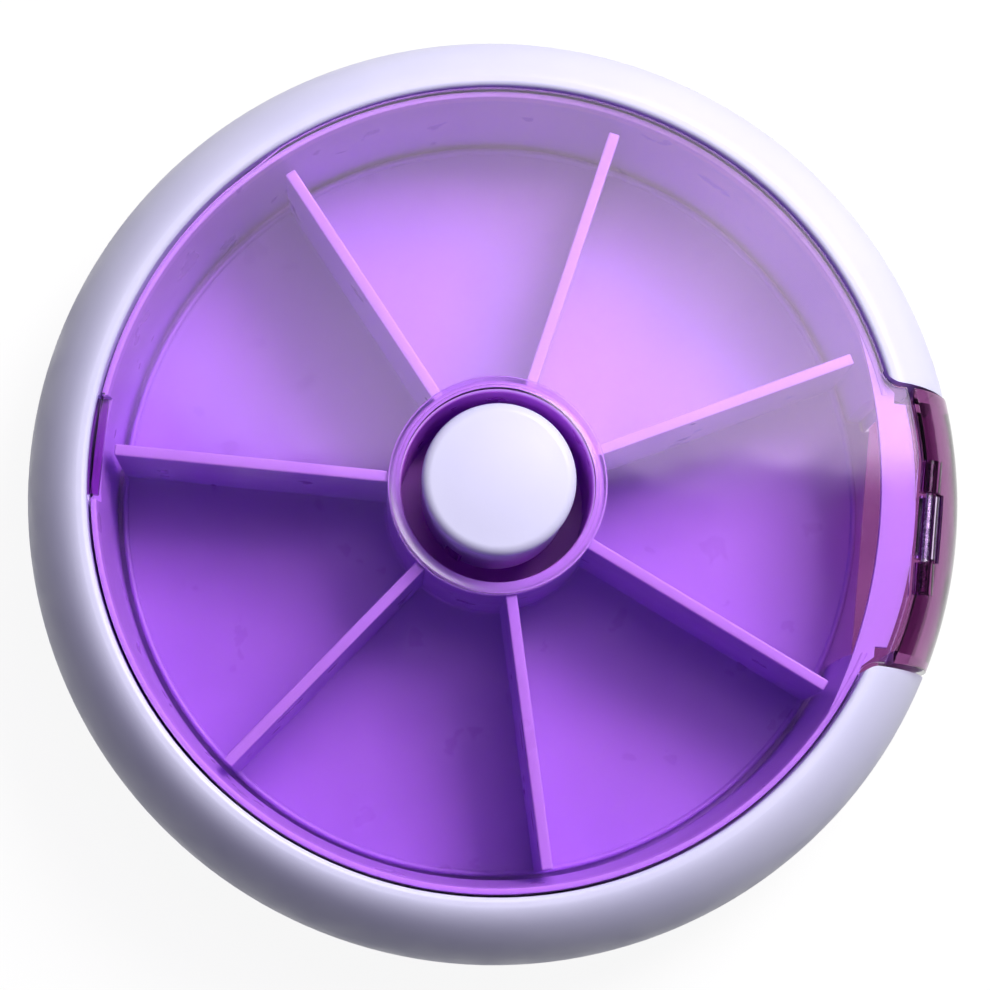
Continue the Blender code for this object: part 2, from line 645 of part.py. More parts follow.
def make_carousel():
    floor_outline = circle_outline(0, 0, CAROUSEL_RADIUS, TURN_STEPS)
    finish = purple_plastic("carousel")
    carousel = extruded("carousel", floor_outline, CAROUSEL_BOTTOM, CAROUSEL_FLOOR_TOP, finish)
    middle = CAROUSEL_BOTTOM + CAROUSEL_FLOOR / 2
    hub_profile = [
        (HUB_RADIUS, HUB_TOP),
        (HUB_RADIUS, middle),
        (HUB_INNER_RADIUS, middle),
        (HUB_INNER_RADIUS, HUB_TOP),
    ]
    hub = turned("carousel_hub", hub_profile)
    boss_outline = circle_outline(0, 0, BOSS_RADIUS, SMALL_STEPS)
    boss = extruded("carousel_boss", boss_outline, middle, BOSS_TOP)
    walls = bmesh.new()
    wall_inner = HUB_RADIUS - HUB_WALL / 2
    wall_outer = CAROUSEL_RADIUS - DIVIDER_INSET
    for number in range(COMPARTMENTS):
        degrees = DIMPLE_STEP * (number + 0.5)
        spoke(walls, wall_inner, wall_outer, DIVIDER_THICKNESS, middle, DIVIDER_TOP, degrees)
    keys = bmesh.new()
    key_tip = BUTTON_RADIUS - KEY_GAP
    for number in range(KEY_COUNT):
        degrees = KEY_STEP * number
        spoke(keys, BOSS_RADIUS - EMBED, key_tip, KEY_THICKNESS, KEY_BOTTOM, KEY_TOP, degrees)
    join(carousel, hub, add_object("dividers", walls), boss, add_object("drive_keys", keys))
    bore_outline = circle_outline(0, 0, BOSS_BORE_RADIUS, SMALL_STEPS)
    bore = extruded("carousel_bore", bore_outline, 0, BOSS_TOP + OVERRUN)
    places = [polar(LEAF_CIRCLE_RADIUS, DIMPLE_STEP * number) for number in range(COMPARTMENTS)]
    dimple_top = CAROUSEL_BOTTOM + DIMPLE_DEPTH
    dimples = round_posts("index_dimples", places, DIMPLE_RADIUS, BOWL_BOTTOM, dimple_top, PIN_SIDES)
    cut(carousel, bore, dimples)
    return carousel


# Button: dome, skirt with key slots, stem with clip groove
BUTTON_EDGE = 0.0016
BUTTON_CROWN = 0.0004
EDGE_STEPS = 5


def make_centre_button():
    edge_radius = BUTTON_RADIUS - BUTTON_EDGE
    edge_top = BUTTON_TOP - BUTTON_CROWN
    edge_centre = (edge_radius, edge_top - BUTTON_EDGE)
    groove_radius = STEM_RADIUS - GROOVE_DEPTH
    groove_top = GROOVE_BOTTOM + GROOVE_HEIGHT
    profile = [
        (0, BUTTON_TOP),
        (edge_radius / 2, BUTTON_TOP - BUTTON_CROWN / 4),
        *arc(edge_centre, (BUTTON_EDGE, BUTTON_EDGE), 90, 0, EDGE_STEPS),
        (BUTTON_RADIUS, SKIRT_BOTTOM_LEVEL),
        (SKIRT_INNER_RADIUS, SKIRT_BOTTOM_LEVEL),
        (SKIRT_INNER_RADIUS, HEAD_BOTTOM),
        (STEM_RADIUS, HEAD_BOTTOM),
        (STEM_RADIUS, groove_top),
        (groove_radius, groove_top),
        (groove_radius, GROOVE_BOTTOM),
        (STEM_RADIUS, GROOVE_BOTTOM),
        (STEM_RADIUS, STEM_BOTTOM),
        (0, STEM_BOTTOM),
    ]
    finish = white_plastic("centre_button")
    button = turned("centre_button", profile, finish, steps=SMALL_STEPS, closed=False)
    slots = bmesh.new()
    slot_width = KEY_THICKNESS + 2 * SLOT_SIDE_GAP
    slot_top = KEY_TOP + BUTTON_TRAVEL + RUNNING_GAP
    slot_inner = (BOSS_RADIUS + SKIRT_INNER_RADIUS) / 2
    slot_bottom = SKIRT_BOTTOM_LEVEL - OVERRUN
    for number in range(KEY_COUNT):
        degrees = KEY_STEP * number
        spoke(slots, slot_inner, BUTTON_RADIUS + OVERRUN, slot_width, slot_bottom, slot_top, degrees)
    cut(button, add_object("key_slots", slots))
    return button


# Button spring
SPRING_WIRE_RADIUS = 0.0003
SPRING_CURLS = 5
SPRING_CURL_POINTS = 10
SPRING_END_SHARE = 0.8  # pitch of the end curls against the mean pitch


def spring_path():
    """Centre line of the wire: the curls are a little closer at both ends."""
    radius = (BOSS_BORE_RADIUS + BOSS_RADIUS) / 2
    bottom = BOSS_TOP + FIT_GAP + SPRING_WIRE_RADIUS
    top = HEAD_BOTTOM - FIT_GAP - SPRING_WIRE_RADIUS
    count = SPRING_CURLS * SPRING_CURL_POINTS
    path = []
    for step in range(count + 1):
        share = step / count
        slope = (1 - SPRING_END_SHARE) / (2 * math.pi)
        climb = share - slope * math.sin(2 * math.pi * share)
        angle = 2 * math.pi * step / SPRING_CURL_POINTS
        height = bottom + (top - bottom) * climb
        path.append(Vector((radius * math.cos(angle), radius * math.sin(angle), height)))
    return path


def print_spring_gap(path):
    """Measures the least gap between one curl and the next, on the points of the path."""
    rises = [
        (path[step + SPRING_CURL_POINTS] - path[step]).length
        for step in range(len(path) - SPRING_CURL_POINTS)
    ]
    gap = min(rises) - 2 * SPRING_WIRE_RADIUS
    print(f"button_spring: least gap between curls {gap * 1000:.2f} mm")


def make_button_spring():
    path = spring_path()
    print_spring_gap(path)
    curve = bpy.data.curves.new("button_spring", "CURVE")
    curve.dimensions = "3D"
    curve.bevel_depth = SPRING_WIRE_RADIUS
    curve.bevel_resolution = 1
    curve.use_fill_caps = True
    wire = curve.splines.new("POLY")
    wire.points.add(len(path) - 1)
    for point, place in zip(wire.points, path):
        point.co = (*place, 1)
    curve.materials.append(spring_steel("button_spring"))
    spring = bpy.data.objects.new("button_spring", curve)
    bpy.context.scene.collection.objects.link(spring)
    return spring


# Clip in the stem's groove
CLIP_OPENING = 70  # degrees left open
CLIP_STEPS = 20


def make_stem_circlip():
    inner = STEM_RADIUS - GROOVE_DEPTH + FIT_GAP
    outer = STEM_RECESS_RADIUS - EDGE_GAP
    low = GROOVE_MIDDLE - CLIP_THICKNESS / 2
    high = GROOVE_MIDDLE + CLIP_THICKNESS / 2
    profile = [(outer, high), (outer, low), (inner, low), (inner, high)]
    start = CLIP_OPENING / 2
    finish = spring_steel("stem_circlip")
    return swept("stem_circlip", profile, start, 360 - CLIP_OPENING, CLIP_STEPS, finish)


# Clear cover: plate, bead round the hole, tongue with a hinge barrel, hook tab
BEAD_WIDTH = 0.0011
COVER_HOLE_RADIUS = HUB_RADIUS - BEAD_WIDTH
BEAD_RISE = 0.0004
HINGE_EDGE_X = DOOR_AXIS.x - DOOR_BARREL_RADIUS - EDGE_GAP
HINGE_WEB_END = 0.00075  # from the door's axis to the web that carries the barrel
HOOK_HALF_LENGTH = SLOT_HALF_LENGTH - EDGE_GAP
HOOK_TIP_REACH = 0.0007  # of the tab under the ring's rim
HOOK_THICKNESS = 0.0007
HOOK_ROOT = 0.00035  # by which the hook's root reaches to both sides of the slot's edge
DOOR_BORE_RADIUS = DOOR_PIN_RADIUS + FIT_GAP


def cover_outline():
    """Plan of the cover: a disc with a slot at the back and a flared tongue at the outlet."""
    side_y = OUTLET_HALF_WIDTH - EDGE_GAP
    barrel_end = DOOR_BARREL_END + FIT_GAP
    slot_angle = 180 - math.degrees(math.asin(SLOT_HALF_LENGTH / COVER_RADIUS))
    half_turn = arc((0, 0), (COVER_RADIUS, COVER_RADIUS), CORNER_ANGLE, slot_angle, TURN_STEPS // 2 - 6)
    slot_end = (SLOT_WIDTH - COVER_RADIUS, SLOT_HALF_LENGTH)
    side_angle = math.degrees(math.asin(side_y / TONGUE_RADIUS))
    notch_angle = math.degrees(math.asin(barrel_end / TONGUE_RADIUS))
    front = arc((0, 0), (TONGUE_RADIUS, TONGUE_RADIUS), notch_angle, side_angle, 3)
    web_half_width = COVER_BARREL_HALF_LENGTH - FIT_GAP
    hinge = [
        (DOOR_AXIS.x - HINGE_WEB_END, web_half_width),
        (HINGE_EDGE_X, web_half_width),
        (HINGE_EDGE_X, barrel_end),
    ]
    corner = gap_corner(EDGE_GAP)
    upper = [*hinge, *front, *reversed(corner[1:]), *half_turn, slot_end]
    return [*upper, *mirrored(upper)]


def hinge_rod(name, radius, low_y, high_y, finish=None):
    return cross_rod(name, DOOR_AXIS, radius, low_y, high_y, finish)


def make_clear_cover():
    finish = tinted_plastic("clear_cover")
    cover = extruded("clear_cover", cover_outline(), COVER_UNDERSIDE, COVER_TOP, finish)
    bead_outer = COVER_HOLE_RADIUS + BEAD_WIDTH
    bead_middle = COVER_UNDERSIDE + COVER_THICKNESS / 2
    bead_profile = [
        (COVER_HOLE_RADIUS + BEAD_WIDTH / 2, COVER_TOP + BEAD_RISE),
        (bead_outer, COVER_TOP + BEAD_RISE / 2),
        (bead_outer, bead_middle),
        (COVER_HOLE_RADIUS - EMBED, bead_middle),
        (COVER_HOLE_RADIUS - EMBED, COVER_TOP + BEAD_RISE / 2),
    ]
    bead = turned("cover_bead", bead_profile)
    barrel_end = COVER_BARREL_HALF_LENGTH
    barrel = hinge_rod("cover_barrel", DOOR_BARREL_RADIUS, -barrel_end, barrel_end)
    bore_end = barrel_end + OVERRUN
    cut(barrel, hinge_rod("cover_bore", DOOR_BORE_RADIUS, -bore_end, bore_end))
    slot_x = SLOT_WIDTH - COVER_RADIUS
    root_x = slot_x + HOOK_ROOT
    tip_x = -RIM_OPENING_RADIUS - HOOK_TIP_REACH
    tab_top = HOUSING_HEIGHT - HOOK_LIP - FIT_GAP
    tab_bottom = tab_top - HOOK_THICKNESS
    hook_side = [
        (tip_x, tab_bottom),
        (root_x, tab_bottom),
        (root_x, COVER_UNDERSIDE + COVER_THICKNESS / 2),
        (slot_x - HOOK_ROOT, COVER_UNDERSIDE + COVER_THICKNESS / 2),
        (slot_x - HOOK_ROOT, tab_top),
        (tip_x, tab_top),
    ]
    join(cover, bead, barrel, cross_bar("hook_tab", hook_side, HOOK_HALF_LENGTH))
    hole_outline = circle_outline(0, 0, COVER_HOLE_RADIUS, TURN_STEPS)
    hole = extruded("cover_hole", hole_outline, COVER_UNDERSIDE - OVERRUN, COVER_TOP + OVERRUN)
    cut(cover, hole)
    return cover


def make_door_hinge_pin():
    finish = spring_steel("door_hinge_pin")
    end = DOOR_PIN_HALF_LENGTH
    return hinge_rod("door_hinge_pin", DOOR_PIN_RADIUS, -end, end, finish)


# Outlet door: shell that follows the housing, bottom web, side cheeks, barrels
DOOR_WALL = 0.0013
DOOR_BOTTOM = 0.0010
DOOR_SEAM = 0.0004  # between the cover's tongue and the door's top edge
DOOR_TOP_CHAMFER = 0.00035
DOOR_HALF_WIDTH = OUTLET_HALF_WIDTH - EDGE_GAP
DOOR_WEB_X = BASE_GAP_X + EDGE_GAP
DOOR_EDGE_RADIUS = TONGUE_RADIUS + DOOR_SEAM
CHEEK_THICKNESS = 0.0012
CHEEK_TOP = COVER_UNDERSIDE - FIT_GAP
DOOR_CORE_RADIUS = BOWL_INNER_RADIUS - CHEEK_THICKNESS
DOOR_MARGIN = 0.4  # degrees swept past the door's half width
DOOR_SWEEP = 2 * (math.degrees(math.asin(DOOR_HALF_WIDTH / DOOR_CORE_RADIUS)) + DOOR_MARGIN)
DOOR_STEPS = 12


def door_outside():
    """The door's outer side, flush with the housing, from its top edge down to its bottom."""
    across = OUTER_RADIUS - TOP_CENTRE_RADIUS
    top_radius = DOOR_EDGE_RADIUS + DOOR_TOP_CHAMFER
    start = math.degrees(math.acos((top_radius - TOP_CENTRE_RADIUS) / across))
    top_centre = (TOP_CENTRE_RADIUS, RING_SHOULDER_LEVEL)
    upper = arc(top_centre, (across, RING_SHOULDER_HEIGHT), start, 0, SHOULDER_STEPS)
    drop = BASE_SHOULDER_HEIGHT - DOOR_BOTTOM
    end = math.degrees(math.asin(drop / BASE_SHOULDER_HEIGHT))
    foot_centre = (BASE_FOOT_RADIUS, BASE_SHOULDER_HEIGHT)
    foot_sizes = (OUTER_RADIUS - BASE_FOOT_RADIUS, BASE_SHOULDER_HEIGHT)
    return [*upper, *arc(foot_centre, foot_sizes, 0, -end, SHOULDER_STEPS)]


def door_inside():
    """The door's inner side, one wall inside its outer side, from its bottom web up."""
    foot_across = OUTER_RADIUS - DOOR_WALL - BASE_FOOT_RADIUS
    foot_drop = BASE_SHOULDER_HEIGHT - DOOR_WALL
    web_drop = BASE_SHOULDER_HEIGHT - DOOR_BOTTOM - DOOR_WALL
    start = math.degrees(math.asin(web_drop / foot_drop))
    foot_centre = (BASE_FOOT_RADIUS, BASE_SHOULDER_HEIGHT)
    lower = arc(foot_centre, (foot_across, foot_drop), -start, 0, INNER_SHOULDER_STEPS)
    across = OUTER_RADIUS - DOOR_WALL - TOP_CENTRE_RADIUS
    end = math.degrees(math.acos((DOOR_EDGE_RADIUS - TOP_CENTRE_RADIUS) / across))
    top_centre = (TOP_CENTRE_RADIUS, RING_SHOULDER_LEVEL)
    half_sizes = (across, RING_SHOULDER_HEIGHT - DOOR_WALL)
    return [*lower, *arc(top_centre, half_sizes, 0, end, INNER_SHOULDER_STEPS)]


def door_sweep(name, profile, finish=None):
    return swept(name, profile, -DOOR_SWEEP / 2, DOOR_SWEEP, DOOR_STEPS, finish)


def make_outlet_door():
    outside = door_outside()
    inside = door_inside()
    web_top = DOOR_BOTTOM + DOOR_WALL
    solid = [
        *outside,
        (DOOR_CORE_RADIUS, DOOR_BOTTOM),
        (DOOR_CORE_RADIUS, CHEEK_TOP),
        (DOOR_EDGE_RADIUS, CHEEK_TOP),
        (DOOR_EDGE_RADIUS, outside[0][1] - DOOR_TOP_CHAMFER),
    ]
    door = door_sweep("outlet_door", solid, tinted_plastic("outlet_door"))
    trim = outlet_box("door_trim", DOOR_WEB_X, DOOR_HALF_WIDTH, 0, HOUSING_HEIGHT)
    combine(door, trim, "INTERSECT")
    far_radius = DOOR_CORE_RADIUS - OVERRUN
    hollow = door_sweep("door_hollow", [(far_radius, web_top), *inside, (far_radius, inside[-1][1])])
    hollow_half_width = DOOR_HALF_WIDTH - CHEEK_THICKNESS
    combine(hollow, outlet_box("hollow_trim", 0, hollow_half_width, 0, HOUSING_HEIGHT), "INTERSECT")
    heel_outline = box_outline(0, RIM_OPENING_RADIUS, -OUTLET_HALF_WIDTH, OUTLET_HALF_WIDTH)
    heel = extruded("door_heel", heel_outline, web_top, HOUSING_HEIGHT)
    room = COVER_BARREL_HALF_LENGTH + FIT_GAP
    cut(door, hollow, heel, hinge_rod("door_room", DOOR_BARREL_RADIUS + EDGE_GAP, -room, room))
    start = COVER_BARREL_HALF_LENGTH + EDGE_GAP
    join(door, hinge_rod("door_barrel_a", DOOR_BARREL_RADIUS, start, DOOR_BARREL_END))
    join(door, hinge_rod("door_barrel_b", DOOR_BARREL_RADIUS, -DOOR_BARREL_END, -start))
    bore_end = DOOR_PIN_HALF_LENGTH + FIT_GAP
    cut(door, hinge_rod("door_bore", DOOR_BORE_RADIUS, -bore_end, bore_end))
    return door


# Housing screws
SCREW_HEAD_RADIUS = 0.00135
SCREW_HEAD_BOTTOM = 0.0026
SCREW_HEAD_HEIGHT = 0.0011
SCREW_END_GAP = 0.0010  # from the screw's end to the end of its hole
SCREW_TOP = RING_HOLE_TOP - SCREW_END_GAP
SCREW_SLOT_WIDTH = 0.0004
SCREW_SLOT_DEPTH = 0.0005


def make_housing_screw(number, angle):
    head_top = SCREW_HEAD_BOTTOM + SCREW_HEAD_HEIGHT
    profile = [
        (0, SCREW_TOP),
        (SCREW_RADIUS, SCREW_TOP),
        (SCREW_RADIUS, head_top),
        (SCREW_HEAD_RADIUS, head_top),
        (SCREW_HEAD_RADIUS, SCREW_HEAD_BOTTOM),
        (0, SCREW_HEAD_BOTTOM),
    ]
    name = f"housing_screw_{number}"
    screw = turned(name, profile, spring_steel(name), steps=ROD_SIDES, closed=False)
    x, y = polar(SCREW_CIRCLE_RADIUS, angle)
    screw.location = (x, y, 0)
    half = SCREW_SLOT_WIDTH / 2
    reach = SCREW_HEAD_RADIUS + OVERRUN
    slot_outline = box_outline(x - half, x + half, y - reach, y + reach)
    slot_top = SCREW_HEAD_BOTTOM + SCREW_SLOT_DEPTH
    cut(screw, extruded(name + "_slot", slot_outline, 0, slot_top))
    return screw


def clear_scene():
    for old in list(bpy.data.objects):
        bpy.data.objects.remove(old, do_unlink=True)


def build():
    clear_scene()
    base = make_base_shell()
    carousel = make_carousel()
    cover = make_clear_cover()
    move_origin(cover, HOOK_AXIS)
    door = make_outlet_door()
    pin = make_door_hinge_pin()
    for piece in (door, pin):
        move_origin(piece, DOOR_AXIS)
        carry(cover, piece)
    button = make_centre_button()
    carry(button, make_stem_circlip())
    for piece in (button, make_button_spring()):
        carry(carousel, piece)
    screws = [make_housing_screw(i + 1, angle) for i, angle in enumerate(SCREW_ANGLES)]
    fixed = [make_rim_ring(), make_tray_bowl(), make_slip_washer(), make_index_leaf()]
    for piece in (*fixed, *screws, carousel, cover):
        carry(base, piece)


build()
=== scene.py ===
import math

import bpy
from mathutils import Matrix, Vector


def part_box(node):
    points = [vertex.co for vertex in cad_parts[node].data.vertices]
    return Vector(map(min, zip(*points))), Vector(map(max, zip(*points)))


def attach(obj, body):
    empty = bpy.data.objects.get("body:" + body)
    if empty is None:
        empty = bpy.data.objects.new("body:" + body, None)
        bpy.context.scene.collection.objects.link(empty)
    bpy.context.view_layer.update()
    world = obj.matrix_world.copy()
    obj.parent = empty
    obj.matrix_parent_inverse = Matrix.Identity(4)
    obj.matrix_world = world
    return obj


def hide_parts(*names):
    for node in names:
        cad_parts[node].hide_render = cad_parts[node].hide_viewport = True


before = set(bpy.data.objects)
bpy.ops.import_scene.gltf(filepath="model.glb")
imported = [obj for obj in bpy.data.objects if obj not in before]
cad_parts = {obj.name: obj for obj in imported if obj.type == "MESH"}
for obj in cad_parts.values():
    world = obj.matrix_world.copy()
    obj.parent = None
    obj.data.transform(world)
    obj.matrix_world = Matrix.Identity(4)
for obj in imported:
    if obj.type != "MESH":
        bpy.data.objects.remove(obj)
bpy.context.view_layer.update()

print("parts loaded:", len(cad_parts))

# levels and radii that several pieces share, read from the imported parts
ringLow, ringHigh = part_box("rim_ring")
bowlLow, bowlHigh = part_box("tray_bowl")
wheelLow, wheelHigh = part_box("carousel")
buttonLow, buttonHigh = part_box("centre_button")
pinLow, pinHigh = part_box("door_hinge_pin")
outerRadius = ringHigh.y
housingTop = ringHigh.z
ringBottom = ringLow.z
bowlRadius = bowlHigh.y
wheelRadius = wheelHigh.y
buttonRadius = buttonHigh.y
pinRadius = (pinHigh.z - pinLow.z) / 2
hingePoint = Vector(((pinLow.x + pinHigh.x) / 2, 0, (pinLow.z + pinHigh.z) / 2))

housing = {
    "openingRadius": 0.0387,
    "partingHeight": 0.0095,
    "wall": 0.0016,
    "outletHalfWidth": 0.0136,
    "cornerRadius": 0.0018,  # of the ring's inner corners at the outlet
    "rimLand": 0.0009,
    "ringShoulder": 0.0085,
    "baseShoulder": 0.0085,
    "footRadius": 0.0390,
    "fillInset": 0.0006,
    "endStart": 15.0,  # degrees from the outlet's middle to the shells' solid ends
    "endSweep": 10.0,
    "screwAngles": [55, 130, 230, 305],
    "screwCircle": 0.04095,
    "screwHole": 0.00105,
}
gap = {
    "skin": 0.0001,  # between faces that would lie in one plane
    "seam": 0.00018,
    "fit": 0.0003,
    "edge": 0.0004,
    "running": 0.0005,
    "over": 0.0010,  # how far a cutter reaches past what it cuts
}
turnSteps = 180
mergeDistance = 1e-6


# shaping tools
def deselectAll():
    bpy.ops.object.select_all(action="DESELECT")


def curve(centre, halfSizes, start, end, steps):
    # points on part of an ellipse, from start to end degrees
    points = []
    for step in range(steps + 1):
        angle = math.radians(start + (end - start) * step / steps)
        x = centre[0] + halfSizes[0] * math.cos(angle)
        y = centre[1] + halfSizes[1] * math.sin(angle)
        points.append((x, y))
    return points


def shoulder(centre, halfSizes, fullness, steps):
    # from the top round to the side, flatter than an ellipse where fullness is under 2
    share = 2 / fullness
    points = []
    for across, up in curve((0, 0), (1, 1), 90, 0, steps):
        x = centre[0] + halfSizes[0] * max(across, 0) ** share
        y = centre[1] + halfSizes[1] * max(up, 0) ** share
        points.append((x, y))
    return points


def upright(points, degrees=0):
    # (radius, height) points stood up at an angle round the axis
    angle = math.radians(degrees)
    return [(radius * math.cos(angle), radius * math.sin(angle), height) for radius, height in points]


def level(points, height):
    return [(x, y, height) for x, y in points]


def mirrored(points):
    return [(x, -y) for x, y in reversed(points)]


def onCircle(radius, degrees):
    return radius * math.cos(math.radians(degrees)), radius * math.sin(math.radians(degrees))


def placed(name):
    # names the new primitive and moves its place and turn into its mesh
    bpy.ops.object.transform_apply(location=True, rotation=True, scale=True)
    piece = bpy.context.object
    piece.name = name
    return piece


def drawLine(name, points):
    # a plane is merged to one corner, which is drawn out from point to point
    deselectAll()
    bpy.ops.mesh.primitive_plane_add(size=gap["over"], location=points[0])
    piece = placed(name)
    bpy.ops.object.mode_set(mode="EDIT")
    bpy.ops.mesh.select_mode(type="VERT")
    bpy.ops.mesh.select_all(action="SELECT")
    bpy.ops.mesh.merge(type="CENTER")
    for before, after in zip(points, points[1:]):
        step = Vector(after) - Vector(before)
        bpy.ops.mesh.extrude_vertices_move(TRANSFORM_OT_translate={"value": step})
    return piece


def mergeDoubles():
    bpy.ops.mesh.select_all(action="SELECT")
    bpy.ops.mesh.remove_doubles(threshold=mergeDistance)


def closeSolid():
    # doubles merged, faces turned outwards
    mergeDoubles()
    bpy.ops.mesh.normals_make_consistent(inside=False)
    bpy.ops.object.mode_set(mode="OBJECT")


def turned(name, points, steps=turnSteps, closed=True):
    # a (radius, height) profile spun once round the axis
    line = upright(points)
    piece = drawLine(name, [*line, line[0]] if closed else line)
    mergeDoubles()
    bpy.ops.mesh.spin(steps=steps, angle=math.tau, center=(0, 0, 0), axis=(0, 0, 1))
    closeSolid()
    return piece


def partTurned(name, points, start, sweep, steps):
    # a filled profile spun through part of a turn, anticlockwise seen from above
    line = upright(points, start)
    piece = drawLine(name, [*line, line[0]])
    mergeDoubles()
    bpy.ops.mesh.edge_face_add()
    bpy.ops.mesh.spin(steps=steps, angle=math.radians(sweep), center=(0, 0, 0), axis=(0, 0, -1))
    closeSolid()
    return piece


def pulled(name, line, step):
    # an outline filled and pulled along a straight step
    piece = drawLine(name, [*line, line[0]])
    mergeDoubles()
    bpy.ops.mesh.edge_face_add()
    bpy.ops.mesh.extrude_region_move(TRANSFORM_OT_translate={"value": step})
    closeSolid()
    return piece


def raised(name, outline, low, high):
    # a plan pulled up from one level to another
    return pulled(name, level(outline, low), (0, 0, high - low))


def block(name, lowX, highX, lowY, highY, lowZ, highZ):
    deselectAll()
    centre = ((lowX + highX) / 2, (lowY + highY) / 2, (lowZ + highZ) / 2)
    sides = (highX - lowX, highY - lowY, highZ - lowZ)
    bpy.ops.mesh.primitive_cube_add(size=1, location=centre, scale=sides)
    return placed(name)


def post(name, x, y, radius, low, high, sides=48):
    deselectAll()
    middle = (x, y, (low + high) / 2)
    tall = high - low
    bpy.ops.mesh.primitive_cylinder_add(vertices=sides, radius=radius, depth=tall, location=middle)
    return placed(name)


def hingeRod(name, radius, lowY, highY, sides=40):
    # a rod along Y on the door's hinge line
    deselectAll()
    middle = (hingePoint.x, (lowY + highY) / 2, hingePoint.z)
    lying = (math.radians(90), 0, 0)
    bpy.ops.mesh.primitive_cylinder_add(
        vertices=sides, radius=radius, depth=highY - lowY, location=middle, rotation=lying
    )
    return placed(name)


def makeActive(piece):
    deselectAll()
    piece.select_set(True)
    bpy.context.view_layer.objects.active = piece


def combine(piece, operation, *helpers):
    for helper in helpers:
        makeActive(piece)
        change = piece.modifiers.new("Combine", "BOOLEAN")
        change.operation = operation
        change.solver = "EXACT"
        change.object = helper
        bpy.ops.object.modifier_apply(modifier=change.name)
        bpy.data.objects.remove(helper)


def join(piece, *helpers):
    combine(piece, "UNION", *helpers)


def cut(piece, *helpers):
    combine(piece, "DIFFERENCE", *helpers)


def keepInside(piece, *helpers):
    combine(piece, "INTERSECT", *helpers)


def softenEdges(piece, width, segments=2, angle=35):
    # every sharp edge is rounded a little, as a mould leaves it
    makeActive(piece)
    bevel = piece.modifiers.new("Soften", "BEVEL")
    bevel.width = width
    bevel.segments = segments
    bevel.limit_method = "ANGLE"
    bevel.angle_limit = math.radians(angle)
    bevel.use_clamp_overlap = True
    bevel.miter_outer = "MITER_ARC"
    bpy.ops.object.modifier_apply(modifier=bevel.name)


def smooth(piece, angle=30):
    makeActive(piece)
    bpy.ops.object.shade_smooth_by_angle(angle=math.radians(angle))
    weighted = piece.modifiers.new("Flats", "WEIGHTED_NORMAL")
    weighted.keep_sharp = True
    bpy.ops.object.modifier_apply(modifier=weighted.name)


def dress(piece, finish, body, node):
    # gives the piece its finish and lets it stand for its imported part
    piece.data.materials.clear()
    piece.data.materials.append(finish)
    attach(piece, body)
    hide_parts(node)
    print(piece.name, "made:", len(piece.data.polygons), "faces")


# finishes
def startFinish(name):
    finish = bpy.data.materials.new(name)
    finish.use_nodes = True
    tree = finish.node_tree
    place = tree.nodes.new("ShaderNodeTexCoord")
    return finish, tree, tree.nodes["Principled BSDF"], place.outputs["Object"]


def noise(tree, place, scale, detail=3.0, roughness=0.5):
    texture = tree.nodes.new("ShaderNodeTexNoise")
    texture.inputs["Scale"].default_value = scale
    texture.inputs["Detail"].default_value = detail
    texture.inputs["Roughness"].default_value = roughness
    tree.links.new(place, texture.inputs["Vector"])
    return texture.outputs["Fac"]


def mapRange(tree, value, fromLow, fromHigh, low, high):
    remap = tree.nodes.new("ShaderNodeMapRange")
    remap.inputs["From Min"].default_value = fromLow
    remap.inputs["From Max"].default_value = fromHigh
    remap.inputs["To Min"].default_value = low
    remap.inputs["To Max"].default_value = high
    tree.links.new(value, remap.inputs["Value"])
    return remap.outputs["Result"]


def calculate(tree, operation, first, second):
    result = tree.nodes.new("ShaderNodeMath")
    result.operation = operation
    for socket, value in zip(result.inputs, (first, second)):
        if isinstance(value, (int, float)):
            socket.default_value = value
        else:
            tree.links.new(value, socket)
    return result.outputs["Value"]


def blendColours(tree, factor, first, second):
    mix = tree.nodes.new("ShaderNodeMix")
    mix.data_type = "RGBA"
    colourSockets = [socket for socket in mix.inputs if socket.type == "RGBA"]
    for socket, colour in zip(colourSockets, (first, second)):
        if isinstance(colour, tuple):
            socket.default_value = (*colour, 1)
        else:
            tree.links.new(colour, socket)
    tree.links.new(factor, mix.inputs["Factor"])
    return next(socket for socket in mix.outputs if socket.type == "RGBA")


def blendShaders(tree, factor, first, second):
    # what the surface or the sky shows goes from the first shader to the second
    mix = tree.nodes.new("ShaderNodeMixShader")
    tree.links.new(factor, mix.inputs["Fac"])
    tree.links.new(first, mix.inputs[1])
    tree.links.new(second, mix.inputs[2])
    return mix.outputs["Shader"]


def heightMask(tree, place, zeroLevel, oneLevel):
    # 0 at one level and 1 at the other
    split = tree.nodes.new("ShaderNodeSeparateXYZ")
    tree.links.new(place, split.inputs["Vector"])
    return mapRange(tree, split.outputs["Z"], zeroLevel, oneLevel, 0, 1)


def radiusMask(tree, place, zeroRadius, oneRadius):
    # 0 at one distance from the axis and 1 at the other
    flat = tree.nodes.new("ShaderNodeVectorMath")
    flat.operation = "MULTIPLY"
    flat.inputs[1].default_value = (1, 1, 0)
    tree.links.new(place, flat.inputs[0])
    away = tree.nodes.new("ShaderNodeVectorMath")
    away.operation = "LENGTH"
    tree.links.new(flat.outputs["Vector"], away.inputs[0])
    return mapRange(tree, away.outputs["Value"], zeroRadius, oneRadius, 0, 1)


def addGrain(tree, shader, place, scale, depth):
    # fine unevenness of a moulded or drawn surface
    bump = tree.nodes.new("ShaderNodeBump")
    bump.inputs["Distance"].default_value = depth
    bump.inputs["Strength"].default_value = 1.0
    tree.links.new(noise(tree, place, scale, 2.0), bump.inputs["Height"])
    tree.links.new(bump.outputs["Normal"], shader.inputs["Normal"])


